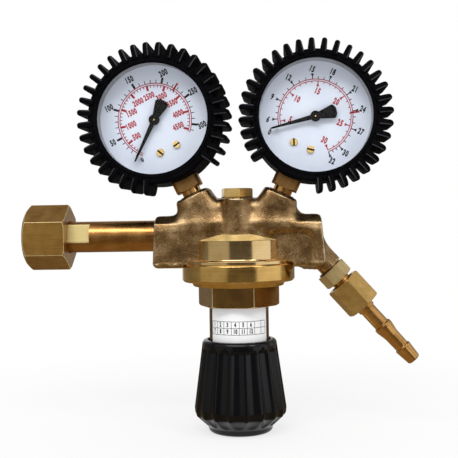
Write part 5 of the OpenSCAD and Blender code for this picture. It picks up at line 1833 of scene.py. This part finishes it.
@dataclass(frozen=True)
class Studio:
    """Floor, lamps, the cards that the metal mirrors, and the camera.

    Attributes:
        layout: Where the regulator stands.
        image: Width and height of the picture in pixels.
        focal: Focal length in pixels.
        distance: Distance of the camera from its target, in millimetres.
        azimuth: Direction of the camera, in degrees from the front towards the right.
        elevation: Height of the camera above the horizon, in degrees.
        roll: Turn of the camera, in degrees clockwise.
        aim: Place that it looks at, along X from the valve axis and along Z from the inlet axis.
        ambient: Strength of the even light.
        rim: Distance of the cards round the regulator from the valve axis, in metres.
    """

    layout: Layout
    image: int = 458
    focal: float = 900.0
    distance: float = 473.6
    azimuth: float = 3.63
    elevation: float = 1.05
    roll: float = 0.96
    aim: Point = (-4.55, 3.04)
    ambient: float = 0.62
    rim: float = 0.62

    def camera(self) -> None:
        """Sets up the camera at the photograph's viewing angle."""
        azimuth, elevation = math.radians(self.azimuth), math.radians(self.elevation)
        across, up = self.aim
        target = Vector((self.layout.axis_x + across, 0, up)) * MM
        back = Vector((math.sin(azimuth) * math.cos(elevation), -math.cos(azimuth) * math.cos(elevation),
                       math.sin(elevation)))
        data = bpy.data.cameras.new("camera")
        data.sensor_width = 36.0
        data.lens = self.focal / self.image * data.sensor_width
        data.clip_start, data.clip_end = 0.01, 50
        camera = linked("camera", data)
        camera.location = target + back * self.distance * MM
        turn = (-back).to_track_quat("-Z", "Y").to_matrix().to_4x4()
        camera.rotation_mode = "QUATERNION"
        turn = turn @ Matrix.Rotation(-math.radians(self.roll), 4, "Z")
        camera.rotation_quaternion = turn.to_quaternion()
        bpy.context.scene.camera = camera

    def lamp(self, name: str, place: Sequence[float], size: Point, power: float) -> None:
        """Adds a soft rectangular lamp that faces the regulator.

        Args:
            name: Name of the lamp.
            place: Its place from the body's centre, in metres.
            size: Its width and height in metres.
            power: Its power in watts.
        """
        data = bpy.data.lights.new(name, "AREA")
        data.shape, data.size, data.size_y, data.energy = "RECTANGLE", size[0], size[1], power
        lamp = linked(name, data)
        centre = Vector((self.layout.axis_x * MM, 0, 0))
        lamp.location = centre + Vector(place)
        lamp.rotation_mode = "QUATERNION"
        lamp.rotation_quaternion = (-Vector(place)).to_track_quat("-Z", "Y")

    def card(self, name: str, azimuths: Point, near: Point, far: Point, colour: str) -> None:
        """Hangs a curved card outside the picture, whose reflection gives the metal its dark parts.

        Args:
            name: Name of the card.
            azimuths: Its first and last direction round the regulator, in degrees from the front.
            near: Distance from the valve axis and height of its first edge, in metres.
            far: The same of its last edge.
            colour: How bright it shows, as an sRGB hex value.
        """
        steps = 10
        verts = []
        for i in range(steps + 1):
            azimuth = math.radians(azimuths[0] + (azimuths[1] - azimuths[0]) * i / steps)
            for j in range(steps + 1):
                reach, height = (a + (b - a) * j / steps for a, b in zip(near, far))
                verts.append((self.layout.axis_x * MM + reach * math.sin(azimuth), -reach * math.cos(azimuth),
                              height))
        row = steps + 1
        faces = [(row * i + j, row * i + j + 1, row * (i + 1) + j + 1, row * (i + 1) + j)
                 for i in range(steps) for j in range(steps)]
        data = bpy.data.meshes.new(name)
        data.from_pydata(verts, [], faces)
        material = bpy.data.materials.new(name)
        tree = fresh_tree(material)
        glow = add(tree, "Emission", {"Color": linear(colour)})
        add(tree, "OutputMaterial", {"Surface": glow.outputs[0]})
        material.cycles.emission_sampling = "NONE"
        data.materials.append(material)
        card = linked(name, data)
        card.visible_camera = card.visible_diffuse = card.visible_shadow = card.visible_transmission = False
        card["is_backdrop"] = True

    def floor(self, height: float) -> None:
        """Lays the pale floor at a height in metres."""
        data = bpy.data.meshes.new("floor")
        reach = 6.0
        data.from_pydata([(-reach, -reach, height), (reach, -reach, height), (reach, reach, height),
                          (-reach, reach, height)], [], [(0, 1, 2, 3)])
        material = bpy.data.materials.new("pale floor")
        tree = fresh_tree(material)
        dull = add(tree, "BsdfDiffuse", {"Color": linear("#f2f2f2")})
        glow = add(tree, "Emission", {"Color": linear("#ffffff")})
        where = add(tree, "TexCoord").outputs["Object"]
        away = add(tree, "VectorMath", {0: where, 1: (self.layout.axis_x * MM, 0, height)},
                   operation="DISTANCE")
        fade = add(tree, "MapRange", {"Value": away.outputs["Value"], "From Min": 0.03, "From Max": 0.3,
                                      "To Min": 0.74, "To Max": 1.0})
        share = add(tree, "Math", {0: shown(tree), 1: fade.outputs["Result"]}, operation="MULTIPLY")
        mixed = add(tree, "MixShader", {0: share.outputs[0], 1: dull.outputs[0], 2: glow.outputs[0]})
        add(tree, "OutputMaterial", {"Surface": mixed.outputs[0]})
        material.cycles.emission_sampling = "NONE"
        data.materials.append(material)
        linked("floor", data)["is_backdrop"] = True

    def world(self) -> None:
        """Fills the room with an even light, and shows it white behind the regulator."""
        world = bpy.data.worlds.new("studio")
        tree = fresh_tree(world)
        strength = add(tree, "MapRange", {"Value": shown(tree), "To Min": self.ambient, "To Max": 1.0})
        light = add(tree, "Background", {"Color": linear("#ffffff"), "Strength": strength.outputs["Result"]})
        add(tree, "OutputWorld", {"Surface": light.outputs[0]})
        world.cycles.sampling_method = "NONE"
        bpy.context.scene.world = world

    def build(self) -> None:
        """Sets up the whole studio."""
        self.camera()
        self.world()
        low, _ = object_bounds()
        self.floor(low[2] - 0.0004)
        self.lamp("upper front lamp", (-0.15, -0.75, 0.8), (0.95, 0.36), 6.5)
        self.lamp("right strip lamp", (0.56, -0.5, 0.62), (0.16, 0.4), 1.5)
        foot, near_foot = (self.rim, low[2] + 0.002), (0.13, low[2] + 0.002)
        sides = {"front card": (-19, 39, 0.09, "#5a5651"), "left front card": (-78, -19, 0.12, "#b9b6ab"),
                 "left card": (-128, -78, 0.26, "#7f7c74"), "left rear card": (-150, -128, 0.3, "#8f8a80"),
                 "right card": (97, 109, 0.3, "#87827a"), "right rear card": (124, 178, 0.3, "#857e74")}
        for name, (first, last, top, colour) in sides.items():
            self.card(name, (first, last), foot, (self.rim, top), colour)
        self.card("low card", (-180, 180), near_foot, foot, "#7d6e54")
        self.card("near low card", (-180, 180), (0.026, foot[1]), near_foot, "#9b8660")
        self.card("upper rear card", (90, 270), (1.1, 0.6), (0.36, 1.14), "#8f8a80")
        self.card("upper front card", (-75, 75), (1.05, 0.14), (1.05, 1.25), "#c6bfb2")
        self.card("ceiling card", (-180, 180), (0.36, 1.15), (0.001, 1.2), "#635e56")
        bpy.context.scene.view_settings.view_transform = "Standard"


def main() -> None:
    """Builds every piece in order, then the studio."""
    logging.basicConfig(level=logging.INFO, format="%(name)s: %(message)s")
    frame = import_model()
    layout = Layout.read()
    bench = Bench(frame, Palette(round(layout.axis_x, 3)))
    ForgedBody(bench, layout).build()
    Inlet(bench, layout).build()
    Valve(bench, layout).build()
    Bonnet(bench, layout).build()
    Knob(bench, layout).build()
    Outlet(bench, layout).build()
    Gauge(bench, layout, -1, cylinder_scales(), bar_angle(225), (-45, 225), (226, 21.2), 28.1, 4.2).build()
    Gauge(bench, layout, 1, flow_scales(), tilted(1, 5.0), (tilted(1, -70.5), tilted(1, 193)), (222.5, 24.6),
          28.5, 2.5).build()
    Studio(layout).build()


if __name__ == "__main__":
    main()
